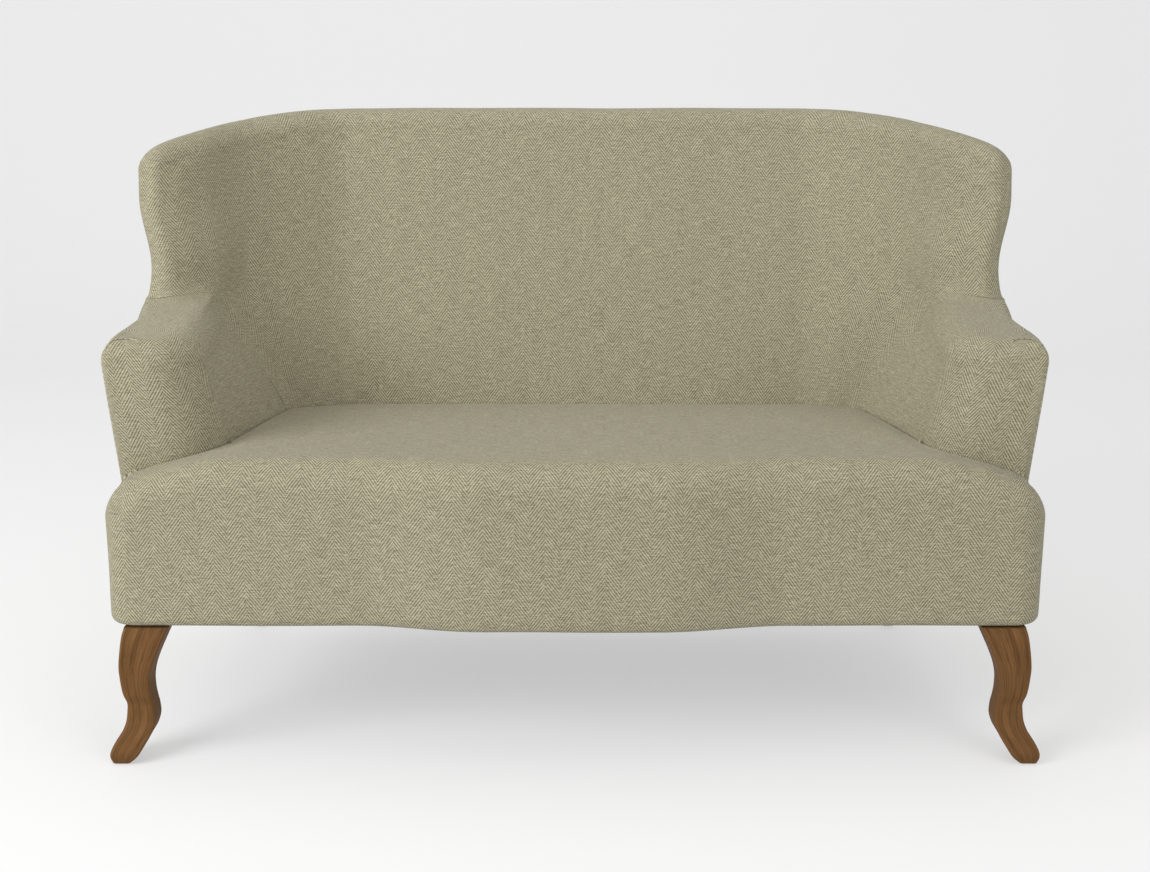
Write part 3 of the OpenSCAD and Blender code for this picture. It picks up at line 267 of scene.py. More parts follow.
# ---------------------------------------------------------------- arms
def arm_in_x(z):
    """Inner face of the arm at a height."""
    return mix(ARM_IN_LOW, ARM_IN_HIGH, clamped((z - SEAT_BACK_H) / (ARM_H - ARM_ROLL_R - SEAT_BACK_H)))


def join_s(z):
    """Station of the inside back that the arm's rear meets at a height."""
    return 3 + clamped((z - TUCK_H) / (crease_z(4) - TUCK_H))


def arm_plan(q, z):
    """Plan of the arm at a height: edge to 1, front to 2, nose to 3, inner face to the back at 4."""
    xo, xi, y0 = arm_edge_x(min(z, ARM_EDGE_H)), arm_in_x(z), -ARM_REACH
    a = math.radians(90 * (q % 1 if q < 3 else 0))
    if q < 1:
        p = (xo - EDGE_R * (1 - math.cos(a)), y0 + EDGE_R * (1 - math.sin(a)))
    elif q < 2:
        p = (mix(xo - EDGE_R, xi + NOSE_R, q - 1), y0)
    elif q < 3:
        p = (xi + NOSE_R * (1 - math.sin(a)), y0 + NOSE_R * (1 - math.cos(a)))
    else:
        return mix(np.array((xi, y0 + NOSE_R)), plan_at(join_s(z), z), (q - 3) * REAR_SHARE)
    return np.array(p)


def arm_low(q):
    if q <= 0.5:
        return UNDER_H
    return mix(UNDER_H, ARM_FOOT_H, 2 * q - 1) if q < 1 else mix(ARM_FOOT_H, TUCK_H, eased((q - 1) / 2))


def arm_roll(q):
    """Radius of the roll between the arm's face and its top."""
    if q < 1:
        return FRONT_ROLL_R * mix(0.2, 1, q)
    return mix(FRONT_ROLL_R, ARM_ROLL_R, eased((q - 1) / 2))


def arm_height(p):
    """Height of the arm's top at a point of the plan, rolled off towards its outer edge."""
    roll = max(arm_top(p[1]) - arm_edge(p[1]), GAP)
    return arm_top(p[1]) - roll_fall(side_x(p[1], ARM_EDGE_H) - p[0], roll)


def arm_shoulder(q):
    return arm_height(arm_plan(q, ARM_EDGE_H)) - arm_roll(q)


def arm_ends(q):
    """Start and end of the line over the arm's top, with its inner roll."""
    f = arm_plan(q, arm_shoulder(q))
    ye = mix(EDGE_R + FRONT_ROLL_R - ARM_REACH, WING_FOOT_Y, spline([0, 0.04, 0.14, 0.42, 1.0], q))
    e = np.array((side_x(ye, ARM_EDGE_H), ye))
    d = np.linalg.norm(e - f)
    return f, e, d, min(arm_roll(q), d * ROLL_SHARE)


def crease_point(s):
    """Point of the crease between arm and wing."""
    z = face_low(s) - CREASE_RISE
    return np.append(plan_at(s, z), z)


CREASE_S = np.linspace(join_s(arm_shoulder(4)), 7, 121)
CREASE = np.array([crease_point(s) for s in CREASE_S])
SIDE_END, REAR_END = arm_ends(3), arm_ends(4)


def arm(q, v):
    """Right arm: q runs from the outer front edge (0) over the front and round the nose (3) to the back (4).

    v runs up the face (0 to 1) and over the top to the outer edge (1 to 2)."""
    if v <= 1:
        z = mix(arm_low(q), arm_shoulder(q), v)
        p = arm_plan(q, z)
        return (p[0], p[1], z)
    f, e, d, rr = arm_ends(q)
    r, w = arm_roll(q), clamped(q - 3)
    t = roll_way(rr, d, v - 1)
    p, rear = mix(f, e, t), 0.0
    if w > 0:
        t3 = roll_way(SIDE_END[3], SIDE_END[2], v - 1)
        foot = crease_point(np.interp(mix(CREASE[0, 0], CREASE[-1, 0], t3), CREASE[:, 0], CREASE_S))
        p = mix(mix(SIDE_END[0], SIDE_END[1], t3), foot[:2], w) + (e - mix(SIDE_END[1], REAR_END[1], w)) * t
        rear = foot[2]
    fall = roll_fall(np.linalg.norm(p - f) * r / rr, r)
    return (p[0], p[1], mix(mix(arm_height(p), arm_shoulder(q), fall / r), rear, w ** 3))


# ---------------------------------------------------------------- seat
def bow_at(x):
    return BOW * (1 - eased((abs(x) - BOW_HALF) / BOW_EASE))


SIDE_REAR_Y = -ARM_REACH - 3


def rim_plan(q, inset):
    """Plan of the seat's rim: bowed front to 3, corner to 4, side to 5, and in towards the arm to 6."""
    x1, r = SEAT_HALF - CORNER_R, CORNER_R - inset
    if q <= 3:
        x = x1 * q / 3
        return np.array((x, -SEAT_REACH - bow_at(x) + inset))
    if q <= 4:
        a = math.radians(90 * (q - 3))
        return np.array((x1 + r * math.sin(a), CORNER_R - SEAT_REACH - r * math.cos(a)))
    if q <= 5:
        return np.array((SEAT_HALF - inset, mix(CORNER_R - SEAT_REACH, SIDE_REAR_Y, q - 4)))
    return np.array((mix(SEAT_HALF - inset, SEAT_HALF - SEAT_REAR_IN, q - 5), SIDE_REAR_Y))


def rim_dist(x, y):
    """Distance of a point of the plan from the seat's rim."""
    dx, dy = x - SEAT_HALF + CORNER_R, CORNER_R - SEAT_REACH - y - bow_at(x)
    return CORNER_R - (math.hypot(dx, dy) if dx > 0 and dy > 0 else max(dx, dy))


def seat_height(p):
    deep = clamped((p[1] + SEAT_REACH) / (BACK_SEAT_Y + SEAT_REACH))
    out = clamped((p[0] - SEAT_LEVEL_HALF) / (SEAT_HALF - SEAT_LEVEL_HALF))
    return mix(SEAT_H, SEAT_BACK_H, deep) - SIDE_DROP * out * out - roll_fall(rim_dist(p[0], p[1]), CREST_R)


def seat_line(q):
    """Plan of the line where the seat meets the inside back and the arm."""
    if q < 1.5:
        return plan_at(2 * q, SEAT_BACK_H)
    if q < 2.5:
        return arm_plan(4 - (q - 1.5), SEAT_BACK_H)
    if q < 3.1:
        return arm_plan(3 - (q - 2.5) / 0.6, SEAT_BACK_H)
    return arm_plan(2 - (q - 3.1) / 1.9, SEAT_BACK_H)


def seat_join(q):
    """The same line, drawn back a little so that the seat tucks up to its neighbours."""
    t = seat_line(min(q + 0.01, 5)) - seat_line(max(q - 0.01, 0))
    return seat_line(q) + SEAT_TUCK * np.array((t[1], -t[0])) / max(np.linalg.norm(t), 1e-6)


def seat(q, v):
    """Seat: q runs from the middle of the front (0) round the corner (3 to 4) to the side.

    v runs up the front (0 to 1) and over the top to the back (1 to 2)."""
    a = abs(q)
    f = rim_plan(a, 0)
    top = seat_height(f)
    if v <= 1:
        z = mix(UNDER_H, top, v)
        p = rim_plan(a, roll_fall(z - UNDER_H, SEAT_FOOT_R))
    else:
        j = f + np.array((0, CLOTH)) if a > 5 else seat_join(a)
        d = np.linalg.norm(j - f)
        p = mix(f, j, roll_way(min(CREST_R, d * ROLL_SHARE), d, v - 1))
        z = seat_height(p)
    return (-p[0] if q < 0 else p[0], p[1], z)


# ---------------------------------------------------------------- grids of points and the padding over them
NORMAL_PASSES, SWELL_PASSES, HOLLOW_PASSES = 3, 60, 8
SHARP_EDGE = 62


def grid(surface, across, up):
    """Points of a surface in metres, row by row."""
    return np.array([[surface(a, v) for a in across] for v in up]) * MM


def normals(g, outward):
    """Unit normals of a grid; outward is 1 or -1."""
    du, dv = np.gradient(g, axis=1), np.gradient(g, axis=0)
    n = np.cross(du, dv)
    n /= np.maximum(np.linalg.norm(n, axis=2, keepdims=True), 1e-12)
    for _ in range(NORMAL_PASSES):
        wide = np.pad(n, ((1, 1), (1, 1), (0, 0)), "edge")
        n = wide[:-2, 1:-1] + wide[2:, 1:-1] + wide[1:-1, :-2] + wide[1:-1, 2:] + 2 * n
        n /= np.maximum(np.linalg.norm(n, axis=2, keepdims=True), 1e-12)
    return n * outward


def weave_lengths(g, middle):
    """Cloth coordinates of a grid in metres: along its rows from the middle column, and up its columns."""
    along = np.linalg.norm(np.diff(g, axis=1), axis=2)
    u = np.concatenate([np.zeros((len(g), 1)), np.cumsum(along, axis=1)], axis=1)
    u -= u[:, middle:middle + 1]
    rise = np.linalg.norm(np.diff(g, axis=0), axis=2)
    v = np.concatenate([np.zeros((1, g.shape[1])), np.cumsum(rise, axis=0)], axis=0)
    return np.stack([u, v], axis=2)


def seam_distance(g, sides):
    """Distance over the surface to the nearest seam; sides names the grid's edges that are seams."""
    along = np.linalg.norm(np.diff(g, axis=1), axis=2)
    rise = np.linalg.norm(np.diff(g, axis=0), axis=2)
    zero_c, zero_r = np.zeros((len(g), 1)), np.zeros((1, g.shape[1]))
    far = np.full(g.shape[:2], 1.0)
    if "first" in sides:
        far = np.minimum(far, np.concatenate([zero_c, np.cumsum(along, axis=1)], axis=1))
    if "last" in sides:
        far = np.minimum(far, np.concatenate([np.cumsum(along[:, ::-1], axis=1)[:, ::-1], zero_c], axis=1))
    if "low" in sides:
        far = np.minimum(far, np.concatenate([zero_r, np.cumsum(rise, axis=0)], axis=0))
    if "high" in sides:
        far = np.minimum(far, np.concatenate([np.cumsum(rise[::-1], axis=0)[::-1], zero_r], axis=0))
    return far


def turned_in(g, n, far, radius):
    """Turns a grid's edges into their seams with a small round."""
    d = np.clip(far, 0, radius)
    fall = radius - np.sqrt(np.maximum(0, radius ** 2 - (radius - d) ** 2))
    return g - n * fall[:, :, None]


def rippled(g, n, size, depth, seed):
    """Slight unevenness of the stuffing, in metres."""
    out = g.copy()
    for i in range(g.shape[0]):
        for j in range(g.shape[1]):
            p = Vector(g[i, j]) / size + Vector((seed, 0, 0))
            out[i, j] += n[i, j] * noise.noise(p) * depth
    return out


# the photograph's viewpoint in metres, its focal length and width in pixels, and its downward angle
EYE, FOCAL, PHOTO_W, LOOK_DOWN = np.array((0, -2.767, 1.125)), 1627, 1150, 13.7
AHEAD, UPWARD = np.array((0, 0.97155, -0.23684)), np.array((0, 0.23684, 0.97155))


def seen_from_eye(g):
    """Where points lie in the photograph, in pixels right of and above its middle."""
    to = g - EYE
    return np.stack([to[..., 0], to @ UPWARD], axis=-1) / (to @ AHEAD)[..., None] * FOCAL


# way above the lip in pixels, and height over the surface in metres
FOLD_PROFILE = ((0.7, -0.0016), (0.15, -0.0004), (-0.1, 0.0008), (0.0, 0.0018), (0.4, 0.0025), (1.0, 0.0027),
                (2.0, 0.0024), (3.5, 0.0016), (5.0, 0.0008), (6.5, 0.0001), (8.0, -0.0006))
FOLD_STATIONS, FOLD_NEAREST, FOLD_REACH = 65, 6, 0.8  # along the lip, and the vertices that its weave follows
FOLD_STEP = np.array((0.4, 0.1))  # pixels that a spot past the outline moves in
FOLD_ROOT, FOLD_DEPTH = 0.0003, 0.002
HIDDEN_Y, HIDDEN_FAR = -0.15, 50.0  # vertices behind this place count as far off


def fold_strip(g, w, path):
    """Outer grid, inner grid and cloth coordinates of a fold on the surface g, its lip on a traced path."""
    rows, cols = g.shape[:2]
    quads = [(i * cols + j, i * cols + j + 1, (i + 1) * cols + j + 1, (i + 1) * cols + j)
             for i in range(rows - 1) for j in range(cols - 1)]
    tree = bvhtree.BVHTree.FromPolygons([tuple(p) for p in g.reshape(-1, 3)], quads)
    seen, cloth = seen_from_eye(g).reshape(-1, 2), w.reshape(-1, 2)
    hidden = (g[:, :, 1].ravel() > HIDDEN_Y) * HIDDEN_FAR
    path = [np.array(p) for p in path]
    outer, inner, uv = [], [], []
    for way_up, height in FOLD_PROFILE:
        line_out, line_in, line_uv = [], [], []
        for t in np.linspace(0, len(path) - 1, FOLD_STATIONS):
            run = spline(path, min(t + 0.05, len(path) - 1)) - spline(path, max(t - 0.05, 0))
            end = math.sin(math.pi * t / (len(path) - 1)) ** 0.6
            up = np.array((run[1], -run[0])) / np.linalg.norm(run)
            spot = spline(path, t) + up * way_up * (0.25 + 0.75 * end)
            place = None
            while place is None:  # past the outline, so a little further in
                spot = spot - FOLD_STEP
                ray = Vector(AHEAD + UPWARD * (spot[1] / FOCAL) + np.array((spot[0] / FOCAL, 0, 0)))
                place, n, _, _ = tree.ray_cast(Vector(EYE), ray)
            n = n if n.dot(ray) < 0 else -n
            line_out.append(np.array(place + n * (height * end - FOLD_ROOT * (1 - end))))
            line_in.append(np.array(place - n * FOLD_DEPTH))
            far = np.linalg.norm(seen - spot, axis=1) + hidden
            near = np.argpartition(far, FOLD_NEAREST)[:FOLD_NEAREST]
            share = np.exp(-(far[near] / FOLD_REACH) ** 2) + 1e-9
            line_uv.append(share @ cloth[near] / share.sum())
        outer.append(line_out)
        inner.append(line_in)
        uv.append(line_uv)
    return np.array(outer), np.array(inner), np.array(uv)


class Hollow:
    """Soft inside corner along the line where two surfaces meet.

    It takes the line's points, both surfaces' normals at them and how far the round reaches."""

    def __init__(self, line, n_one, n_two, radius):
        sine = np.sqrt(np.clip((1 - (n_one * n_two).sum(1)) / 2, 0, 1))
        middle = n_one + n_two
        middle /= np.linalg.norm(middle, axis=1, keepdims=True)
        self.line, self.radius = line, radius
        self.lift = middle * (sine * radius / 2)[:, None]
        for _ in range(HOLLOW_PASSES):
            self.lift[1:-1] = (self.lift[:-2] + self.lift[2:] + 2 * self.lift[1:-1]) / 4

    def filled(self, g):
        """The surface g drawn up into the round."""
        flat = g.reshape(-1, 3)
        best, lift = np.full(len(flat), 9.0), np.zeros_like(flat)
        ends = zip(self.line, self.line[1:], self.lift, self.lift[1:], self.radius, self.radius[1:])
        for a, b, la, lb, ra, rb in ends:
            t = np.clip((flat - a) @ (b - a) / max((b - a) @ (b - a), 1e-12), 0, 1)[:, None]
            d = np.linalg.norm(flat - a - t * (b - a), axis=1)
            share = d / np.maximum(ra + (rb - ra) * t[:, 0], 1e-6)
            near = share < best
            best[near] = share[near]
            lift[near] = (la + (lb - la) * t)[near]
        return g + (lift * (np.clip(1 - best, 0, 1) ** 2)[:, None]).reshape(g.shape)


def mesh_object(name, points, faces, uv=None):
    """Smooth object of points and faces, with a cloth coordinate for each point."""
    mesh = bpy.data.meshes.new(name)
    mesh.from_pydata([tuple(p) for p in points], [], faces)
    mesh.update()
    if uv is not None:
        layer = mesh.uv_layers.new(name="weave")
        loops = np.zeros(len(mesh.loops), np.int32)
        mesh.loops.foreach_get("vertex_index", loops)
        layer.data.foreach_set("uv", np.asarray(uv, np.float32)[loops].ravel())
    mesh.polygons.foreach_set("use_smooth", [True] * len(mesh.polygons))
    piece = bpy.data.objects.new(name, mesh)
    bpy.context.scene.collection.objects.link(piece)
    return piece


def volume(points, faces):
    """Six times the enclosed volume; below zero where the faces look inwards."""
    p = np.asarray(points)
    total = 0.0
    for f in faces:
        for k in range(1, len(f) - 1):
            total += np.dot(p[f[0]], np.cross(p[f[k]], p[f[k + 1]]))
    return total


def shell_faces(rows, cols):
    """Quads of a closed form between an outer grid and an inner one of the same size."""
    count, faces = rows * cols, []
    for i in range(rows - 1):
        for j in range(cols - 1):
            a = i * cols + j
            faces.append((a, a + 1, a + cols + 1, a + cols))
            faces.append((a + count, a + cols + count, a + cols + 1 + count, a + 1 + count))
    for j in range(cols - 1):
        top = (rows - 1) * cols + j
        faces.append((j, j + count, j + 1 + count, j + 1))
        faces.append((top, top + 1, top + 1 + count, top + count))
    for i in range(rows - 1):
        a, b = i * cols, i * cols + cols - 1
        faces.append((a, a + cols, a + cols + count, a + count))
        faces.append((b, b + count, b + cols + count, b + cols))
    return faces


def shell(name, outer, inner, uv):
    """Closed piece between an outer grid and an inner one."""
    rows, cols = outer.shape[:2]
    points = np.concatenate([outer.reshape(-1, 3), inner.reshape(-1, 3)])
    faces = shell_faces(rows, cols)
    if volume(points, faces) < 0:
        faces = [tuple(reversed(f)) for f in faces]
    flat = uv.reshape(-1, 2)
    piece = mesh_object(name, points, faces, np.concatenate([flat, flat]))
    piece.data.set_sharp_from_angle(angle=math.radians(SHARP_EDGE))
    return piece


def swell(name, outer, inner, n, voxel, cap):
    """How far the stuffed form swells along its normals, in metres.

    A remeshed copy is blown up as cloth, and its moves are read back, smoothed and held under the cap."""
    rows, cols = outer.shape[:2]
    copy = shell(name, outer, inner, np.zeros(outer.shape[:2] + (2,)))
    coarse = copy.modifiers.new("voxels", "REMESH")
    coarse.mode, coarse.voxel_size = "VOXEL", voxel
    depsgraph = bpy.context.evaluated_depsgraph_get()
    mesh = bpy.data.meshes.new_from_object(copy.evaluated_get(depsgraph))
    old = copy.data
    copy.modifiers.clear()
    copy.data = mesh
    bpy.data.meshes.remove(old)
    rest = np.zeros(len(mesh.vertices) * 3)
    mesh.vertices.foreach_get("co", rest)
    rest = rest.reshape(-1, 3)
    cloth = copy.modifiers.new("cloth", "CLOTH")
    cloth.settings.use_pressure = True
    cloth.settings.uniform_pressure_force = 4
    cloth.settings.effector_weights.gravity = 0
    cloth.settings.quality = 4
    cloth.point_cache.frame_start, cloth.point_cache.frame_end = 1, 20
    for step in range(1, 21):
        bpy.context.scene.frame_set(step)
    final = copy.evaluated_get(bpy.context.evaluated_depsgraph_get()).data
    moved = np.zeros(len(final.vertices) * 3)
    final.vertices.foreach_get("co", moved)
    move = moved.reshape(-1, 3) - rest
    tree = kdtree.KDTree(len(rest))
    for i, p in enumerate(rest):
        tree.insert(p, i)
    tree.balance()
    out = np.zeros(rows * cols)
    flat_n = n.reshape(-1, 3)
    for i, p in enumerate(outer.reshape(-1, 3)):
        near = tree.find_n(p, 8)
        w = np.array([math.exp(-(d / voxel) ** 2) for _, _, d in near]) + 1e-9
        out[i] = (w @ move[[k for _, k, _ in near]]) @ flat_n[i] / w.sum()
    bpy.context.scene.frame_set(1)
    bpy.data.objects.remove(copy)
    bpy.data.meshes.remove(mesh)
    out = out.reshape(rows, cols)
    out -= np.median(out)
    for _ in range(SWELL_PASSES):
        beside = out[:-2, 1:-1] + out[2:, 1:-1] + out[1:-1, :-2] + out[1:-1, 2:]
        out[1:-1, 1:-1] = (beside + 2 * out[1:-1, 1:-1]) / 6
    return cap * np.tanh(out / (4 * cap))


def stations(low, high, count, ends):
    """Even stations between low and high, with closer ones at both ends."""
    even = np.linspace(low, high, count)
    extra = [low + e for e in ends] + [high - e for e in ends]
    return sorted(set(np.round(np.concatenate([even, extra]), 6)))


SEAM_ENDS_UP = (0.003, 0.007, 0.012)
SEAM_R = 0.003
MIRROR = np.array((-1, 1, 1))
SLOTS = {}


def dress(piece, slot, *nodes, fill=None):
    """Seats a piece on the frame: it rides the body, takes its finish slot, and stands for its nodes.

    The record has no slot for sewing thread, so that keeps none."""
    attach(piece, "root")
    SLOTS[piece.name] = slot
    if nodes:
        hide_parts(*nodes)
    return piece


# ---------------------------------------------------------------- inside back and wings, one padded piece
PAD_T, PAD_FOOT_T = 18.0, 58.0
wall_s = sorted(set(np.round(np.concatenate([
    np.linspace(-7, 7, 211), [-7 + e for e in (0.01, 0.03, 0.05)], [7 - e for e in (0.01, 0.03, 0.05)]]), 6)))
wall_v = sorted(set(np.round(np.concatenate([
    np.linspace(0, 1, 61), np.linspace(1, 2, 25), SEAM_ENDS_UP, [2 - e for e in (0.008, 0.02, 0.03)]]), 6)))
wall_g = grid(wall, wall_s, wall_v)
wall_n = normals(wall_g, -1)
wall_n *= np.sign(-wall_n[len(wall_v) // 3, len(wall_s) // 2, 1])
wall_depth = np.array([[PAD_T + PAD_FOOT_T * (1 - clamped(v)) * (1 - eased(abs(s) - 2)) for s in wall_s]
                       for v in wall_v]) * MM
wall_far = seam_distance(wall_g, ("high", "first", "last"))
wall_in = wall_g - wall_n * (wall_depth * np.clip(wall_far / 0.02, 0.1, 1))[:, :, None]
low_far = seam_distance(wall_g, ("low",))
WEAVE_ROW = 40  # the row whose lengths space the weave's columns
wall_w = weave_lengths(wall_g, len(wall_s) // 2)
wall_w[:, :, 0] = wall_w[WEAVE_ROW:WEAVE_ROW + 1, :, 0]
wall_w[:, :, 1] += wall_g[0, :, 2]
soft = np.clip(np.minimum(wall_far, low_far) / 0.05, 0, 1)
wall_swell = swell("back_swell", wall_g, wall_in, wall_n, 0.009, 0.0014)
wall_out = wall_g + wall_n * (soft * wall_swell)[:, :, None]
wall_out = rippled(wall_out, wall_n, 0.17, 0.0012, 3.1)
wall_out = turned_in(wall_out, wall_n, wall_far, SEAM_R)

# ---------------------------------------------------------------- arms
arm_q = sorted(set(np.round(np.concatenate([
    np.linspace(0, 1, 13), np.linspace(1, 2, 25), np.linspace(2, 3, 21), np.linspace(3, 4, 37),
    [0.04, 0.08, 3.985, 3.995]]), 6)))
arm_v = sorted(set(np.round(np.concatenate([
    np.linspace(0, 1, 49), np.linspace(1, 1.5, 33), np.linspace(1.5, 2, 17), SEAM_ENDS_UP,
    [2 - e for e in (0.008, 0.02, 0.035)]]), 6)))
arm_g = grid(arm, arm_q, arm_v)
arm_n = normals(arm_g, 1)
arm_middle = int(np.argmin(np.abs(np.array(arm_q) - 1.5)))
arm_n *= np.sign(-arm_n[len(arm_v) // 3, arm_middle, 1])
arm_depth = np.clip((arm_g[:, :, 2] / MM - ARM_FOOT_H) / 30, 0, 1) * 16.9 * MM + 3 * MM
arm_far = seam_distance(arm_g, ("high", "first"))
arm_inner = arm_g - arm_n * (arm_depth * np.clip(arm_far / 0.02, 0.1, 1))[:, :, None]
arm_w = weave_lengths(arm_g, arm_middle)
arm_w[:, :, 0] += 0.7
arm_w[:, :, 1] += arm_g[0, :, 2] - UNDER_H * MM
soft = np.clip(np.minimum(arm_far, seam_distance(arm_g, ("last",))) / 0.04, 0, 1)
arm_swell = swell("arm_swell", arm_g, arm_inner, arm_n, 0.007, 0.0012)
arm_out = arm_g + arm_n * (soft * arm_swell)[:, :, None]
arm_out = rippled(arm_out, arm_n, 0.11, 0.001, 7.7)
arm_out = turned_in(arm_out, arm_n, arm_far, SEAM_R)

# the soft corner where the arm meets the inside back and the wing
foot = wall_g[0, len(wall_s) // 2:]
foot_n = wall_n[0, len(wall_s) // 2:]
line = arm_g[:, -1]
nearest = [int(np.argmin(np.linalg.norm(foot - p, axis=1))) for p in line]
HOLLOW_R = 0.042
rise = (line[:, 2] / MM - SEAT_BACK_H) / 60
out_share = (WING_HALF - line[:, 0] / MM) / 70
hollow_r = HOLLOW_R * np.array([eased(a) * mix(0.25, 1, eased(b)) for a, b in zip(rise, out_share)]) + 1e-5
hollow = Hollow(line, arm_n[:, -1], foot_n[nearest], hollow_r)
arm_out, wall_out = hollow.filled(arm_out), hollow.filled(wall_out)
wall_out = hollow.filled(wall_out * MIRROR) * MIRROR
inside_back = shell("inside_back", wall_out, wall_in, wall_w)
dress(inside_back, "upholstery_fabric", "inside_back_cover", "back_pad", fill=0.8)
for side, word in ((1, "right"), (-1, "left")):
    flip = MIRROR if side < 0 else 1
    w = arm_w * np.array((side, 1))
    inside_arm = shell("inside_arm_" + word, arm_out * flip, arm_inner * flip, w)
    dress(inside_arm, "upholstery_fabric", "inside_arm_cover_" + word, "arm_pad_" + word, fill=0.8)

# the fold over the right arm front, in pixels right of and above the middle of the photograph
PLEAT = [(470, 86), (467, 91), (462, 95), (455, 96.5), (447, 96.5), (439, 94.5), (432, 91)]
fold_out, fold_in, fold_w = fold_strip(arm_out, arm_w, PLEAT)
for side, word in ((1, "right"), (-1, "left")):
    flip = MIRROR if side < 0 else 1
    dress(shell("arm_pleat_" + word, fold_out * flip, fold_in * flip, fold_w * np.array((side, 1))),
          "upholstery_fabric")

# ---------------------------------------------------------------- seat
seat_q = sorted(set(np.round(np.concatenate([
    np.linspace(-5, 5, 181), np.linspace(3, 4, 13), -np.linspace(3, 4, 13), [-6, -5.5, 5.5, 6]]), 6)))
seat_v = sorted(set(np.round(np.concatenate([
    np.linspace(0, 1, 33), np.linspace(1, 1.5, 17), np.linspace(1.5, 2, 33),
    [0.02, 0.045, 0.07, 1.992, 1.996]]), 6)))
seat_g = grid(seat, seat_q, seat_v)
seat_n = normals(seat_g, -1)
seat_n *= np.sign(-seat_n[len(seat_v) // 5, len(seat_q) // 2, 1])
seat_inner = seat_g - seat_n * 9.9 * MM
seat_inner[:, :, 2] = np.minimum(seat_inner[:, :, 2], FOAM_LOW * MM)
seat_w = weave_lengths(seat_g, len(seat_q) // 2)
front_part = np.abs(np.array(seat_q)) <= 3
seat_w[:, front_part, 0] = seat_g[:, front_part, 0]
for j in np.nonzero(~front_part)[0]:
    edge = np.sign(seat_q[j]) * (SEAT_HALF - CORNER_R + 75 * min(1, abs(seat_q[j]) - 3)) * MM
    seat_w[:, j, 0] = [mix(edge, seat_g[i, j, 0], eased(2 * v - 2)) for i, v in enumerate(seat_v)]
seat_far = seam_distance(seat_g, ("high",))
low_far = seam_distance(seat_g, ("low",))
soft = np.clip(np.minimum(seat_far, low_far) / 0.05, 0, 1)
seat_swell = swell("seat_swell", seat_g, seat_inner, seat_n, 0.009, 0.0014)
seat_out = seat_g + seat_n * (soft * seat_swell)[:, :, None]
seat_out = rippled(seat_out, seat_n, 0.19, 0.0014, 11.3)
seat_out = turned_in(seat_out, seat_n, seat_far, 0.006)
seat_piece = shell("seat", seat_out, seat_inner, seat_w)
dress(seat_piece, "upholstery_fabric", "seat_cover", "seat_foam", "seat_border_pad", fill=0.8)


# ---------------------------------------------------------------- outside covers, with a slight puff over their padding
TACK_DROP = 2.8


def stretched_sheet(g):
    """Measures a grid's lengths along its rows and columns and its area; neither is kept."""
    lengths = weave_lengths(g, 0)
    area = np.linalg.norm(np.cross(g[1:, 1:] - g[:-1, :-1], g[1:, :-1] - g[:-1, 1:]), axis=2).sum() / 2


def outside_arm(a, v):
    """a runs from the front edge (0) to the rear corner (1), v up to the arm's outer edge."""
    y0, y1 = EDGE_R + GAP - ARM_REACH, rear_at(ARM_REAR_H) - REAR_CORNER_R - GAP
    y = mix(y0, y1, a)
    z = mix(UNDER_H, arm_edge(y) - TACK_DROP, v)
    back = clamped((y - WING_FOOT_Y) / (y1 - WING_FOOT_Y))
    y = min(y - (rear_at(ARM_REAR_H) - rear_at(z)) * back, rear_at(z) - REAR_CORNER_R - GAP)
    return (side_x(y, z), y, z)


def outside_wing(s, v):
    """s runs from the wing's front edge (7) to the rear corner (3)."""
    z = mix(ARM_REAR_H + CREASE_RISE, top_outer_z(s) - TACK_DROP, v)
    step = mix(6 * GAP, WING_TOP_STEP, clamped((v - 0.95) / 0.05))
    y = mix(rear_at(z) - REAR_CORNER_R - GAP, wing_outer_y(z) + step, (s - 3) / 4)
    return (wing_side_x(y, z), y, z)


def outside_back(s, v):
    """s runs across, 0 in the middle to 3 at both rear corners, v up."""
    z = mix(UNDER_H, top_outer_z(abs(s)) - TACK_DROP, v)
    p = rear_plan(abs(s), z)
    return (-p[0] if s < 0 else p[0], p[1], z)


ENDS = (0.004, 0.009)


def outside_cover(name, surface, across, up, middle, facing, node, shift, puff):
    """One outside cover, or a left and a right one where its node's name ends in an underscore.

    facing is its outward direction, shift moves its weave, and puff is how far its padding swells."""
    g = grid(surface, across, up)
    n = normals(g, 1)
    mid = n[len(up) // 2, len(across) // 2]
    if mid @ np.array(facing) < 0:
        n = -n
    far = seam_distance(g, ("first", "last", "high", "low"))
    w = weave_lengths(g, middle)
    w[:, :, 0] += shift
    w[:, :, 1] += g[0, :, 2] - UNDER_H * MM
    tight = g + n * (puff * (1 - np.exp(-far / 0.05)))[:, :, None] - n * puff * 0.8
    tight = rippled(tight, n, 0.2, 0.0008, shift * 10)
    tight = turned_in(tight, n, far, 0.002)
    inner = tight - n * CLOTH * MM
    hands = ((1, "right"), (-1, "left")) if node.endswith("_") else ((1, ""),)
    for flip, word in hands:
        turn = MIRROR if flip < 0 else 1
        piece = shell(name + word, tight * turn, inner * turn, w * np.array((flip, 1)))
        dress(piece, "upholstery_fabric", node + word)
        stretched_sheet(tight)


side_ups = stations(0, 1, 41, ENDS)
outside_cover("outside_arm_", outside_arm, stations(0, 1, 61, ENDS), side_ups, 0, (1, 0, 0),
              "outside_arm_cover_", 1.1, 0.0012)
outside_cover("outside_wing_", outside_wing, stations(3, 7, 41, (0.02, 0.05))[::-1],
              stations(0, 1, 36, ENDS), 0,
              (1, 0, 0), "outside_wing_cover_", 1.7, 0.001)
back_s = stations(-3, 3, 81, (0.02, 0.05))
outside_cover("outside_back", outside_back, back_s, stations(0, 1, 61, (0.003, 0.006)), len(back_s) // 2,
              (0, 1, 0), "outside_back_cover", 0.0, 0.0015)


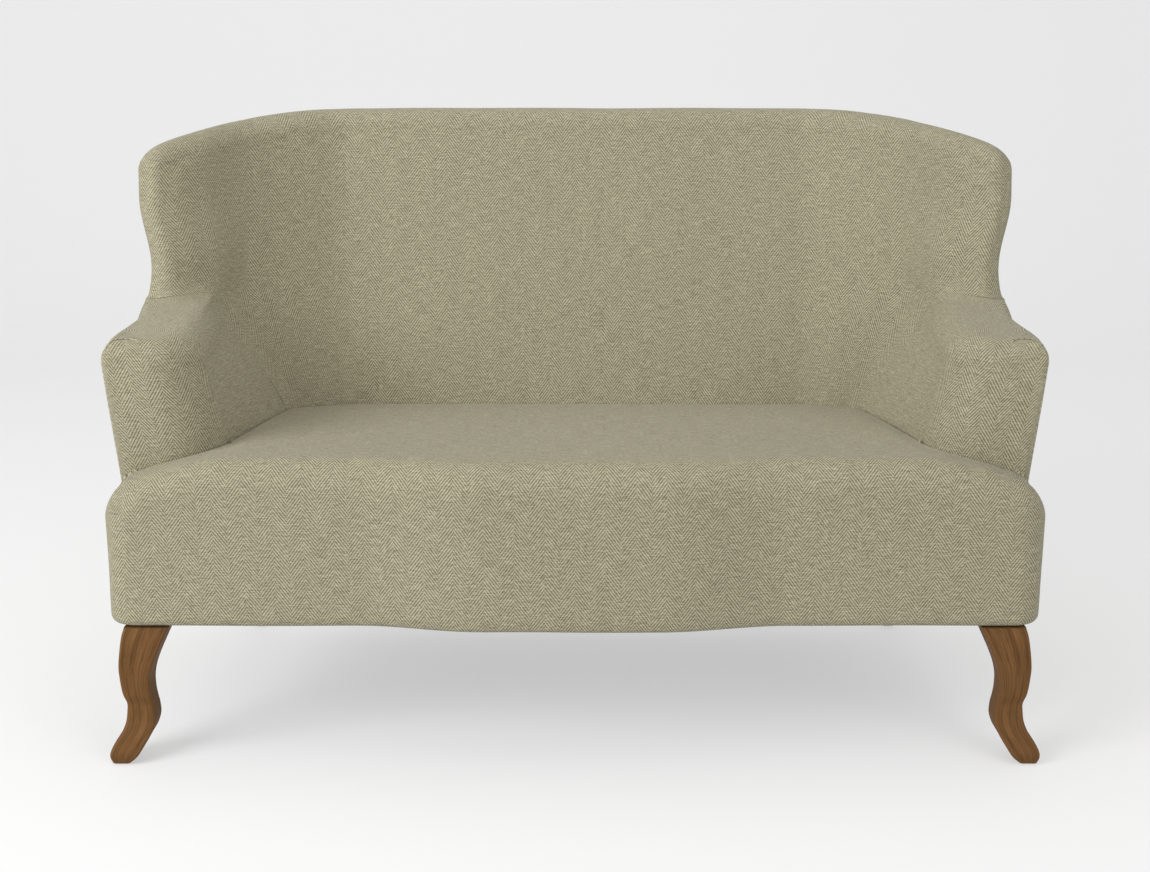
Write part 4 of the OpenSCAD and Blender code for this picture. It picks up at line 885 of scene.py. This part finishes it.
# ---------------------------------------------------------------- front legs
LEG_W, LEG_IN, LEG_BACK, GLIDE_T = 72.0, 31.0, 6.0, 2.0
LEG_X, LEG_Y = SEAT_HALF - LEG_IN, SEAT_REACH - LEG_BACK
LEG_RINGS, LEG_PERIMETER = 88, 0.26
LEG_TOP = UNDER_H - GAP
# heights, then the knee's and toe's way out, then the width, read from the photographed outline
LEG_SHARES = (
    [0, 0.045, 0.09, 0.155, 0.21, 0.28, 0.36, 0.42, 0.5, 0.61, 0.73, 0.91, 1],
    [0.9, 1, 0.97, 0.73, 0.45, 0.25, 0.17, 0.16, 0.31, 0.39, 0.41, 0.25, 0.08],
    [0.97, 0.82, 0.72, 0.61, 0.51, 0.45, 0.455, 0.48, 0.505, 0.5, 0.41, 0.18, 0.05])


def leg_ring(t):
    """Square section with softened edges, and how much of each point is edge."""
    z = mix(GLIDE_T, LEG_TOP, spline(LEG_SHARES[0], t))
    out, a = spline(LEG_SHARES[1], t), LEG_W * (spline(LEG_SHARES[2], t) - 1)
    b, f, r = 29 * out, -33 * out, 5.0
    ring, worn = [], []
    corners = ((b - r, -a - r, 0), (a + r, -a - r, 90), (a + r, f + r, 180), (b - r, f + r, 270))
    for k, (cx, cy, start) in enumerate(corners):
        for w in range(0, 91, 15):
            c = math.radians(start + w)
            ring.append((LEG_X + cx + r * math.cos(c), -LEG_Y + cy + r * math.sin(c), z))
            worn.append(1 - abs(w - 45) / 45)
        nx, ny, ns = corners[(k + 1) % 4]
        c = math.radians(start + 90)
        e0 = np.array(ring[-1][:2])
        e1 = np.array((LEG_X + nx + r * math.cos(c), -LEG_Y + ny + r * math.sin(c)))
        for step in (0.2, 0.4, 0.6, 0.8):
            p = mix(e0, e1, step)
            ring.append((p[0], p[1], z))
            worn.append(0)
    return ring, worn


leg_rings = [leg_ring(12 * i / LEG_RINGS) for i in range(LEG_RINGS + 1)]
leg_points = np.array([ring for ring, _ in leg_rings]) * MM
leg_worn = np.array([worn for _, worn in leg_rings])
leg_middle = leg_points.mean(axis=1)
leg_along = np.concatenate([[0], np.cumsum(np.linalg.norm(np.diff(leg_middle, axis=0), axis=1))])
round_it = np.linspace(0, 2, leg_points.shape[1], endpoint=False)
leg_grain = np.stack(np.broadcast_arrays(
    np.abs(round_it - 1)[None, :] * (LEG_PERIMETER / 2), leg_along[:, None]), axis=2)
per_ring = leg_points.shape[1]
leg_faces = [(i * per_ring + j, i * per_ring + (j + 1) % per_ring, (i + 1) * per_ring + (j + 1) % per_ring,
              (i + 1) * per_ring + j) for i in range(LEG_RINGS) for j in range(per_ring)]
leg_faces += [tuple(reversed(range(per_ring))), tuple(LEG_RINGS * per_ring + j for j in range(per_ring))]
for side, word in ((1, "right"), (-1, "left")):
    points = leg_points.reshape(-1, 3) * (MIRROR if side < 0 else 1)
    faces = leg_faces if volume(points, leg_faces) > 0 else [tuple(reversed(f)) for f in leg_faces]
    leg = mesh_object("carved_leg_" + word, points, faces, leg_grain.reshape(-1, 2))
    edge = leg.data.attributes.new("edge", "FLOAT", "POINT")
    edge.data.foreach_set("value", leg_worn.ravel().astype(np.float32))
    for polygon in leg.data.polygons:
        polygon.use_smooth = len(polygon.vertices) == 4
    dress(leg, "leg_wood", "front_leg_" + word)


# ---------------------------------------------------------------- hand stitches along the outside seams
def stitches(name, path, pitch, length, thick):
    """Short slanted threads along a path of points, each with its outward direction."""
    points, faces = [], []
    spots = [np.array(p) for p, _ in path]
    ways = [np.array(n) for _, n in path]
    along = np.concatenate([[0], np.cumsum([np.linalg.norm(b - a) for a, b in zip(spots, spots[1:])])])
    for at in np.arange(pitch, along[-1] - pitch / 2, pitch):
        i = int(np.searchsorted(along, at)) - 1
        t = (at - along[i]) / (along[i + 1] - along[i])
        p, out = mix(spots[i], spots[i + 1], t), mix(ways[i], ways[i + 1], t)
        run = spots[i + 1] - spots[i]
        run /= np.linalg.norm(run)
        across = np.cross(out, run)
        run = run + across * 0.35
        first = len(points)
        for k in range(7):
            share = k / 6 * 2 - 1
            middle = p + run * (share * length / 2) + out * (thick * (0.42 - 1.1 * share ** 2))
            r = thick / 2 * math.sqrt(max(0.04, 1 - share ** 4))
            for m in range(6):
                a = math.radians(60 * m)
                points.append(middle + out * (r * math.cos(a)) + across * (r * math.sin(a)))
        for k in range(6):
            for m in range(6):
                a, b = first + 6 * k + m, first + 6 * k + (m + 1) % 6
                faces.append((a, b, b + 6, a + 6))
        faces += [tuple(first + m for m in range(5, -1, -1)), tuple(first + 36 + m for m in range(6))]
    if volume(points, faces) < 0:
        faces = [tuple(reversed(f)) for f in faces]
    dress(mesh_object(name, points, faces), "sewing_thread")


stitched_q = int(np.argmin(np.abs(np.array(arm_q) - 0.5)))
stitched = [i for i, v in enumerate(arm_v) if 0.03 < v < 1.1]
for side, word in ((1, "right"), (-1, "left")):
    turn = np.array((side, 1, 1))
    seam = [(arm_out[i, stitched_q] * turn, arm_n[i, stitched_q] * turn) for i in stitched]
    stitches("arm_seam_stitches_" + word, seam, 0.011, 0.0055, 0.0011)


# ---------------------------------------------------------------- dust cover, tacked under the rails
RAIL_LOW, DUST_CLEAR, DUST_IN, DUST_T, DUST_SAG = UNDER_H + 4, 4.0, 16.5, 0.9, 3.5
LEG_INNER, LEG_REAR_Y = LEG_X - LEG_W - DUST_CLEAR, LEG_BACK + LEG_W + DUST_CLEAR - SEAT_REACH
UPRIGHT_HALF, UPRIGHT_FRONT = REAR_HALF - 38, rear_at(RAIL_LOW) - 6.2 - 48 - DUST_CLEAR


DUST_FRONT, DUST_REAR = DUST_IN - SEAT_REACH, rear_at(UNDER_H) - 3


def dust_half(y):
    """Half the width of the dust cover at a depth, narrower between the legs."""
    if y < LEG_REAR_Y:
        return LEG_INNER
    if y > UPRIGHT_FRONT:
        return UPRIGHT_HALF - 20
    return min(side_x(max(y, -ARM_REACH), UNDER_H) - 2.4, SEAT_HALF - 45)


def dust(c, y):
    """Cloth that sags a little between the rails; c runs from side to side, y from front to back."""
    half = dust_half(y)
    x = c * half
    front = DUST_FRONT - bow_at(x)
    y0, y1 = DUST_FRONT, DUST_REAR
    yy = mix(front, y1, (y - y0) / (y1 - y0)) if y < UPRIGHT_FRONT else y
    rim = min(half - abs(x), yy - front, y1 - yy) / 60
    pucker = 0.4 * math.cos(x * 0.16) * math.cos(yy * 0.16) * (1 - eased(rim))
    return (x, yy, RAIL_LOW - 0.7 - DUST_SAG * eased(rim) + pucker)


dust_y = sorted([*np.linspace(DUST_FRONT, DUST_REAR, 49), LEG_REAR_Y - 0.1, LEG_REAR_Y + 0.1,
                 UPRIGHT_FRONT - 0.1, UPRIGHT_FRONT + 0.1])
dust_g = grid(dust, np.linspace(-1, 1, 61), dust_y)
dust_cloth_piece = shell("dust_cover_cloth", dust_g, dust_g - np.array((0, 0, DUST_T * MM)), dust_g[:, :, :2])
dress(dust_cloth_piece, "dust_cloth", "dust_cover")
stretched_sheet(dust_g)

for name, width in (("back_upright_left", 0.003), ("back_upright_right", 0.003), ("foot_glides", 0.0006)):
    soften = frame["nodes"][name].modifiers.new("softened_edges", "BEVEL")
    soften.width, soften.segments, soften.limit_method = width, 3, "ANGLE"


# ---------------------------------------------------------------- shader wiring
class Value:
    """A socket of a material; sums, products and the like add their Math nodes."""

    def __init__(self, finish, socket):
        self.finish, self.socket = finish, socket

    def math(self, operation, *others):
        return self.finish.node("ShaderNodeMath", {"operation": operation}, dict(enumerate((self,) + others)))

    def __add__(self, other):
        return self.math("ADD", other)

    def __sub__(self, other):
        return self.math("SUBTRACT", other)

    def __mul__(self, other):
        return self.math("MULTIPLY", other)

    def __truediv__(self, other):
        return self.math("DIVIDE", other)

    def __mod__(self, other):
        return self.math("MODULO", other)

    def __rsub__(self, other):
        return self.finish.node("ShaderNodeMath", {"operation": "SUBTRACT"}, {0: other, 1: self})

    __radd__, __rmul__ = __add__, __mul__

    def floor(self):
        return self.math("FLOOR")

    def size(self):
        return self.math("ABSOLUTE")

    def wave(self):
        """0 to 1, once round for each whole number."""
        return (self * (2 * math.pi)).math("SINE") * 0.5 + 0.5

    def within(self, low, high):
        """0 below low, 1 above high."""
        return self.finish.node("ShaderNodeMapRange", {"clamp": True},
                                {"Value": self, "From Min": low, "From Max": high, "To Min": 0, "To Max": 1})


class Finish:
    """A material under construction."""

    def __init__(self, name, roughness=0.5, **constants):
        self.material = bpy.data.materials.new(name)
        self.material.use_nodes = True
        self.tree = self.material.node_tree
        self.shader = self.tree.nodes["Principled BSDF"]
        self.shader.inputs["Roughness"].default_value = roughness
        for socket, value in constants.items():
            self.shader.inputs[socket.replace("_", " ")].default_value = value

    def node(self, kind, settings=None, sockets=None, out=0):
        """One node: its settings first, then its inputs by name or number; gives its output number out."""
        made = self.tree.nodes.new(kind)
        for key, value in (settings or {}).items():
            setattr(made, key, value)
        for key, value in (sockets or {}).items():
            if isinstance(value, Value):
                self.tree.links.new(value.socket, made.inputs[key])
            else:
                made.inputs[key].default_value = value
        return Value(self, made.outputs[out])

    def blend(self, share, first, second):
        """Colour between two others."""
        return self.node("ShaderNodeMix", {"data_type": "RGBA"}, {0: share, 6: first, 7: second}, out=2)

    def tinted(self, colour, amount):
        """Colour times a grey amount."""
        grey = self.node("ShaderNodeCombineXYZ", None, {0: amount, 1: amount, 2: amount})
        return self.node("ShaderNodeVectorMath", {"operation": "MULTIPLY"}, {0: colour, 1: grey})

    def speck(self, place, scale, detail=2, roughness=0.5):
        """Noise, about 0 to 1."""
        return self.node("ShaderNodeTexNoise", None,
                         {"Vector": place, "Scale": scale, "Detail": detail, "Roughness": roughness})

    def stretched(self, place, factors):
        return self.node("ShaderNodeVectorMath", {"operation": "MULTIPLY"}, {0: place, 1: factors})

    def parts(self, place):
        split = self.node("ShaderNodeSeparateXYZ", None, {0: place})
        return [Value(self, o) for o in split.socket.node.outputs]

    def feed(self, socket, value):
        self.tree.links.new(value.socket, self.shader.inputs[socket])

    def raised(self, height, distance, strength=1.0):
        """Height field to the shader's normal."""
        bump = self.node("ShaderNodeBump", None,
                         {"Height": height, "Distance": distance, "Strength": strength})
        self.feed("Normal", bump)


def rgba(r, g, b):
    """Linear colour of a screen colour written 0 to 255."""
    linear = [c / 255 / 12.92 if c <= 10 else ((c / 255 + 0.055) / 1.055) ** 2.4 for c in (r, g, b)]
    return (*linear, 1.0)


# the weave's column width, the distance of its twill lines up a column, and how steeply they climb
COLUMN, PITCH, CLIMB = 0.0235, 0.0068, 1.37


def herringbone():
    cloth = Finish("herringbone_cloth", roughness=0.92,
                   Sheen_Weight=0.12, Sheen_Roughness=0.5, Specular_IOR_Level=0.2)
    weave = cloth.node("ShaderNodeUVMap", {"uv_map": "weave"})
    drift = cloth.speck(weave, 7.0) - 0.5
    u, v, _ = cloth.parts(weave)
    column = (u + drift * 0.003) / COLUMN + 1000
    odd = column.floor() % 2
    share = column - column.floor()
    zigzag = (odd - share).size()
    climb = v + drift * 0.003 + zigzag * (COLUMN * CLIMB)
    twill = (climb / PITCH + odd * 0.5).wave()
    dash = cloth.speck(cloth.stretched(weave, (150.0, 420.0, 1.0)), 1.0, 1, 0.6)
    slub = cloth.speck(cloth.stretched(weave, (34.0, 520.0, 1.0)), 1.0, 1, 0.5)
    fine = cloth.speck(cloth.stretched(weave, (700.0, 900.0, 1.0)), 1.0, 2)
    broad = cloth.speck(weave, 3.5, 3)
    fleck = cloth.speck(cloth.stretched(weave, (240.0, 420.0, 1.0)), 1.0, 1)
    dark, light = rgba(116, 110, 85), rgba(176, 171, 147)
    line = (twill * 0.85 + dash * 1.45 - 0.72).within(0.1, 0.66)
    thread = cloth.blend(line, dark, light)
    green = cloth.blend(fleck.within(0.6, 0.7) * 0.4, thread, rgba(112, 124, 84))
    rose = cloth.blend((1 - fleck).within(0.64, 0.72) * 0.4, green, rgba(178, 138, 118))
    tone = slub.within(0.3, 0.7) * 0.38 + fine * 0.22 + broad * 0.12 + 0.65
    cloth.feed("Base Color", cloth.tinted(rose, tone))
    cloth.raised(line * 0.7 + slub * 0.5, 0.0004, 0.6)
    return cloth.material


def leg_wood():
    wood = Finish("stained_leg_wood", roughness=0.5, Specular_IOR_Level=0.1)
    grown = wood.node("ShaderNodeUVMap", {"uv_map": "weave"})
    wander = wood.node("ShaderNodeTexNoise", None, {"Vector": grown, "Scale": 14.0}, out=1)
    bent = wood.node("ShaderNodeVectorMath", {"operation": "ADD"},
                     {0: grown, 1: wood.stretched(wander, (0.006, 0.0, 0.0))})
    grain = wood.speck(wood.stretched(bent, (70.0, 7.0, 1.0)), 1.0, 4, 0.6)
    lines = wood.speck(wood.stretched(bent, (430.0, 6.0, 1.0)), 1.0, 2, 0.55)
    pores = wood.speck(wood.stretched(bent, (1300.0, 40.0, 1.0)), 1.0, 2)
    tone = wood.blend(grain.within(0.3, 0.7), rgba(98, 68, 38), rgba(128, 92, 55))
    lined = wood.blend(lines.within(0.48, 0.62) * 0.5, tone, rgba(72, 47, 24))
    pored = wood.blend(pores.within(0.55, 0.68) * 0.4, lined, rgba(54, 33, 18))
    worn = wood.node("ShaderNodeAttribute", {"attribute_name": "edge"}, out=2)
    wood.feed("Base Color", wood.blend(worn * grain * 0.35, pored, rgba(142, 100, 62)))
    wood.feed("Roughness", lines * 0.2 + 0.5)
    wood.raised(lines * 0.5 + pores * 0.5, 0.0003, 0.35)
    return wood.material


def plain_wood(name, dark, light, grain_way=(9.0, 70.0, 70.0), stain=None):
    """Sawn wood; stain gives the two colours of what stands free below the cover, as the legs do."""
    wood = Finish(name, roughness=0.65)
    place = wood.node("ShaderNodeTexCoord", out=3)
    grain = wood.speck(wood.stretched(place, grain_way), 1.0, 4, 0.6)
    pores = wood.speck(wood.stretched(place, tuple(8 * g for g in grain_way)), 1.0, 2)
    tone = wood.blend(grain.within(0.3, 0.7), dark, light)
    if stain:
        _, _, height = wood.parts(place)
        stained = wood.blend(grain.within(0.3, 0.7), *stain)
        tone = wood.blend(height.within(UNDER_H * MM, (UNDER_H + 2) * MM), stained, tone)
    wood.feed("Base Color", wood.blend(pores.within(0.55, 0.7) * 0.4, tone, rgba(84, 60, 36)))
    wood.raised(grain + pores * 0.4, 0.0003, 0.4)
    return wood.material


def spring_steel():
    steel = Finish("oiled_spring_steel", roughness=0.34, Metallic=0.95)
    place = steel.node("ShaderNodeTexCoord", out=3)
    cloud = steel.speck(place, 26.0, 4)
    steel.feed("Base Color", steel.blend(cloud, rgba(110, 108, 104), rgba(168, 168, 166)))
    steel.feed("Roughness", cloud * 0.25 + 0.25)
    return steel.material


def jute():
    cloth = Finish("jute_webbing", roughness=0.95)
    place = cloth.node("ShaderNodeTexCoord", out=3)
    x, y, z = cloth.parts(place)
    basket = (x * 330).wave() * 0.5 + ((y + z) * 330).wave() * 0.5
    hair = cloth.speck(place, 420.0, 3)
    cloth.feed("Base Color", cloth.blend(basket * 0.6 + hair * 0.4, rgba(116, 92, 58), rgba(186, 158, 112)))
    cloth.raised(basket + hair, 0.0006, 0.8)
    return cloth.material


def dust_cloth():
    cloth = Finish("non_woven_dust_cloth", roughness=0.9)
    place = cloth.node("ShaderNodeTexCoord", out=3)
    x, y, _ = cloth.parts(place)
    dimple = (x * 400).wave() * (y * 400).wave()
    fibre = cloth.speck(place, 300.0, 3)
    cloth.feed("Base Color", cloth.blend(fibre * 0.7 + dimple * 0.3, rgba(20, 20, 21), rgba(46, 46, 48)))
    cloth.raised(1 - dimple, 0.0004, 0.7)
    return cloth.material


def thread():
    fibre = Finish("waxed_thread", roughness=0.7)
    twist = fibre.speck(fibre.node("ShaderNodeTexCoord", out=3), 900.0, 2)
    fibre.feed("Base Color", fibre.blend(twist, rgba(176, 170, 150), rgba(214, 209, 192)))
    return fibre.material


def glide_plastic():
    plastic = Finish("glide_plastic", roughness=0.55)
    place = plastic.node("ShaderNodeTexCoord", out=3)
    scuff = plastic.speck(place, 240.0, 4)
    plastic.feed("Base Color", plastic.blend(scuff.within(0.45, 0.7), rgba(24, 24, 24), rgba(58, 56, 54)))
    plastic.feed("Roughness", scuff * 0.3 + 0.4)
    return plastic.material


FINISHES = {
    "upholstery_fabric": herringbone(), "leg_wood": leg_wood(),
    "frame_wood": plain_wood("sawn_beech", rgba(176, 138, 96), rgba(214, 182, 138)),
    "upright_wood": plain_wood("stained_beech_upright", rgba(176, 138, 96), rgba(214, 182, 138),
                               (70.0, 70.0, 9.0),
                               (rgba(88, 60, 33), rgba(120, 85, 50))),
    "spring_steel": spring_steel(), "webbing": jute(), "dust_cloth": dust_cloth(),
    "glide_plastic": glide_plastic(), "sewing_thread": thread()}
for name, node in frame["nodes"].items():
    if name.startswith("front_leg"):
        slot = "leg_wood"
    elif name.startswith("back_upright"):
        slot = "upright_wood"
    elif name == "dust_cover":
        slot = "dust_cloth"
    elif name == "foot_glides":
        slot = "glide_plastic"
    elif name in ("leg_bolts", "leg_plates", "seat_springs", "spring_clips", "spring_tie_wires"):
        slot = "spring_steel"
    elif name in ("seat_hessian", "back_webbing"):
        slot = "webbing"
    elif "cover" in name or "pad" in name or "foam" in name:
        slot = "upholstery_fabric"
    else:
        slot = "frame_wood"
    node.data.materials.clear()
    node.data.materials.append(FINISHES[slot])
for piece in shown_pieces():
    if "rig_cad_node" not in piece:
        piece.data.materials.clear()
        piece.data.materials.append(FINISHES[SLOTS[piece.name]])

# ---------------------------------------------------------------- floor, backdrop, light and camera
def stage_material(name, own, tone):
    """Pale studio surface; the camera, and metal or glass, see a share of its own even tone in it."""
    stage = Finish(name, roughness=1.0)
    stage.shader.inputs["Base Color"].default_value = (0.74, 0.74, 0.74, 1)
    stage.shader.inputs["Specular IOR Level"].default_value = 0
    path = stage.node("ShaderNodeLightPath")
    seen = path
    for ray in ("Is Glossy Ray", "Is Transmission Ray"):
        seen = seen.math("MAXIMUM", Value(stage, path.socket.node.outputs[ray]))
    even = stage.node("ShaderNodeEmission", None, {"Color": (1, 1, 1, 1), "Strength": tone})
    lit = Value(stage, stage.shader.outputs[0])
    joined = stage.node("ShaderNodeMixShader", None, {0: seen * own, 1: lit, 2: even})
    stage.tree.links.new(joined.socket, stage.tree.nodes["Material Output"].inputs[0])
    return stage.material


SWEEP_Y, SWEEP_R = 3.0, 2.0
floor_points, floor_faces = [], []
profile = [(-6.0, 0.0), (0.0, 0.0), (SWEEP_Y, 0.0)]
for angle in range(10, 91, 10):
    turn = math.radians(angle)
    profile.append((SWEEP_Y + SWEEP_R * math.sin(turn), SWEEP_R - SWEEP_R * math.cos(turn)))
profile.append((SWEEP_Y + SWEEP_R, 6.0))
for y, z in profile:
    floor_points += [(-8.0, y, z), (8.0, y, z)]
for i in range(len(profile) - 1):
    floor_faces.append((2 * i, 2 * i + 1, 2 * i + 3, 2 * i + 2))
floor = mesh_object("studio_floor", floor_points, floor_faces)
floor.data.materials.append(stage_material("studio_paper", 0.35, 1.32))

world = bpy.data.worlds.new("studio")
bpy.context.scene.world = world
world.use_nodes = True
air = world.node_tree.nodes["Background"]
air.inputs[0].default_value = (1, 1, 1, 1)
air.inputs[1].default_value = 0.48


def lamp(name, place, aim, size, power):
    light = bpy.data.lights.new(name, "AREA")
    light.shape, light.size, light.energy = "SQUARE", size, power
    holder = bpy.data.objects.new(name, light)
    holder.location = place
    holder.rotation_euler = (Vector(aim) - Vector(place)).to_track_quat("-Z", "Y").to_euler()
    bpy.context.scene.collection.objects.link(holder)


lamp("key_light", (-3.7, -2.7, 2.5), (0, 0, 0.5), 2.8, 162)
lamp("fill_light", (2.9, -3.9, 2.1), (0, 0, 0.5), 3.0, 58)
lamp("top_light", (0, 0.2, 3.8), (0, 0, 0), 3.2, 28)

camera = bpy.data.objects.new("camera", bpy.data.cameras.new("camera"))
camera.data.sensor_fit, camera.data.sensor_width = "HORIZONTAL", 36.0
camera.data.lens = FOCAL / PHOTO_W * 36.0
camera.location = tuple(EYE)
camera.rotation_euler = (math.radians(90 - LOOK_DOWN), 0, 0)
bpy.context.scene.collection.objects.link(camera)
bpy.context.scene.camera = camera
bpy.context.scene.view_settings.view_transform = "Standard"
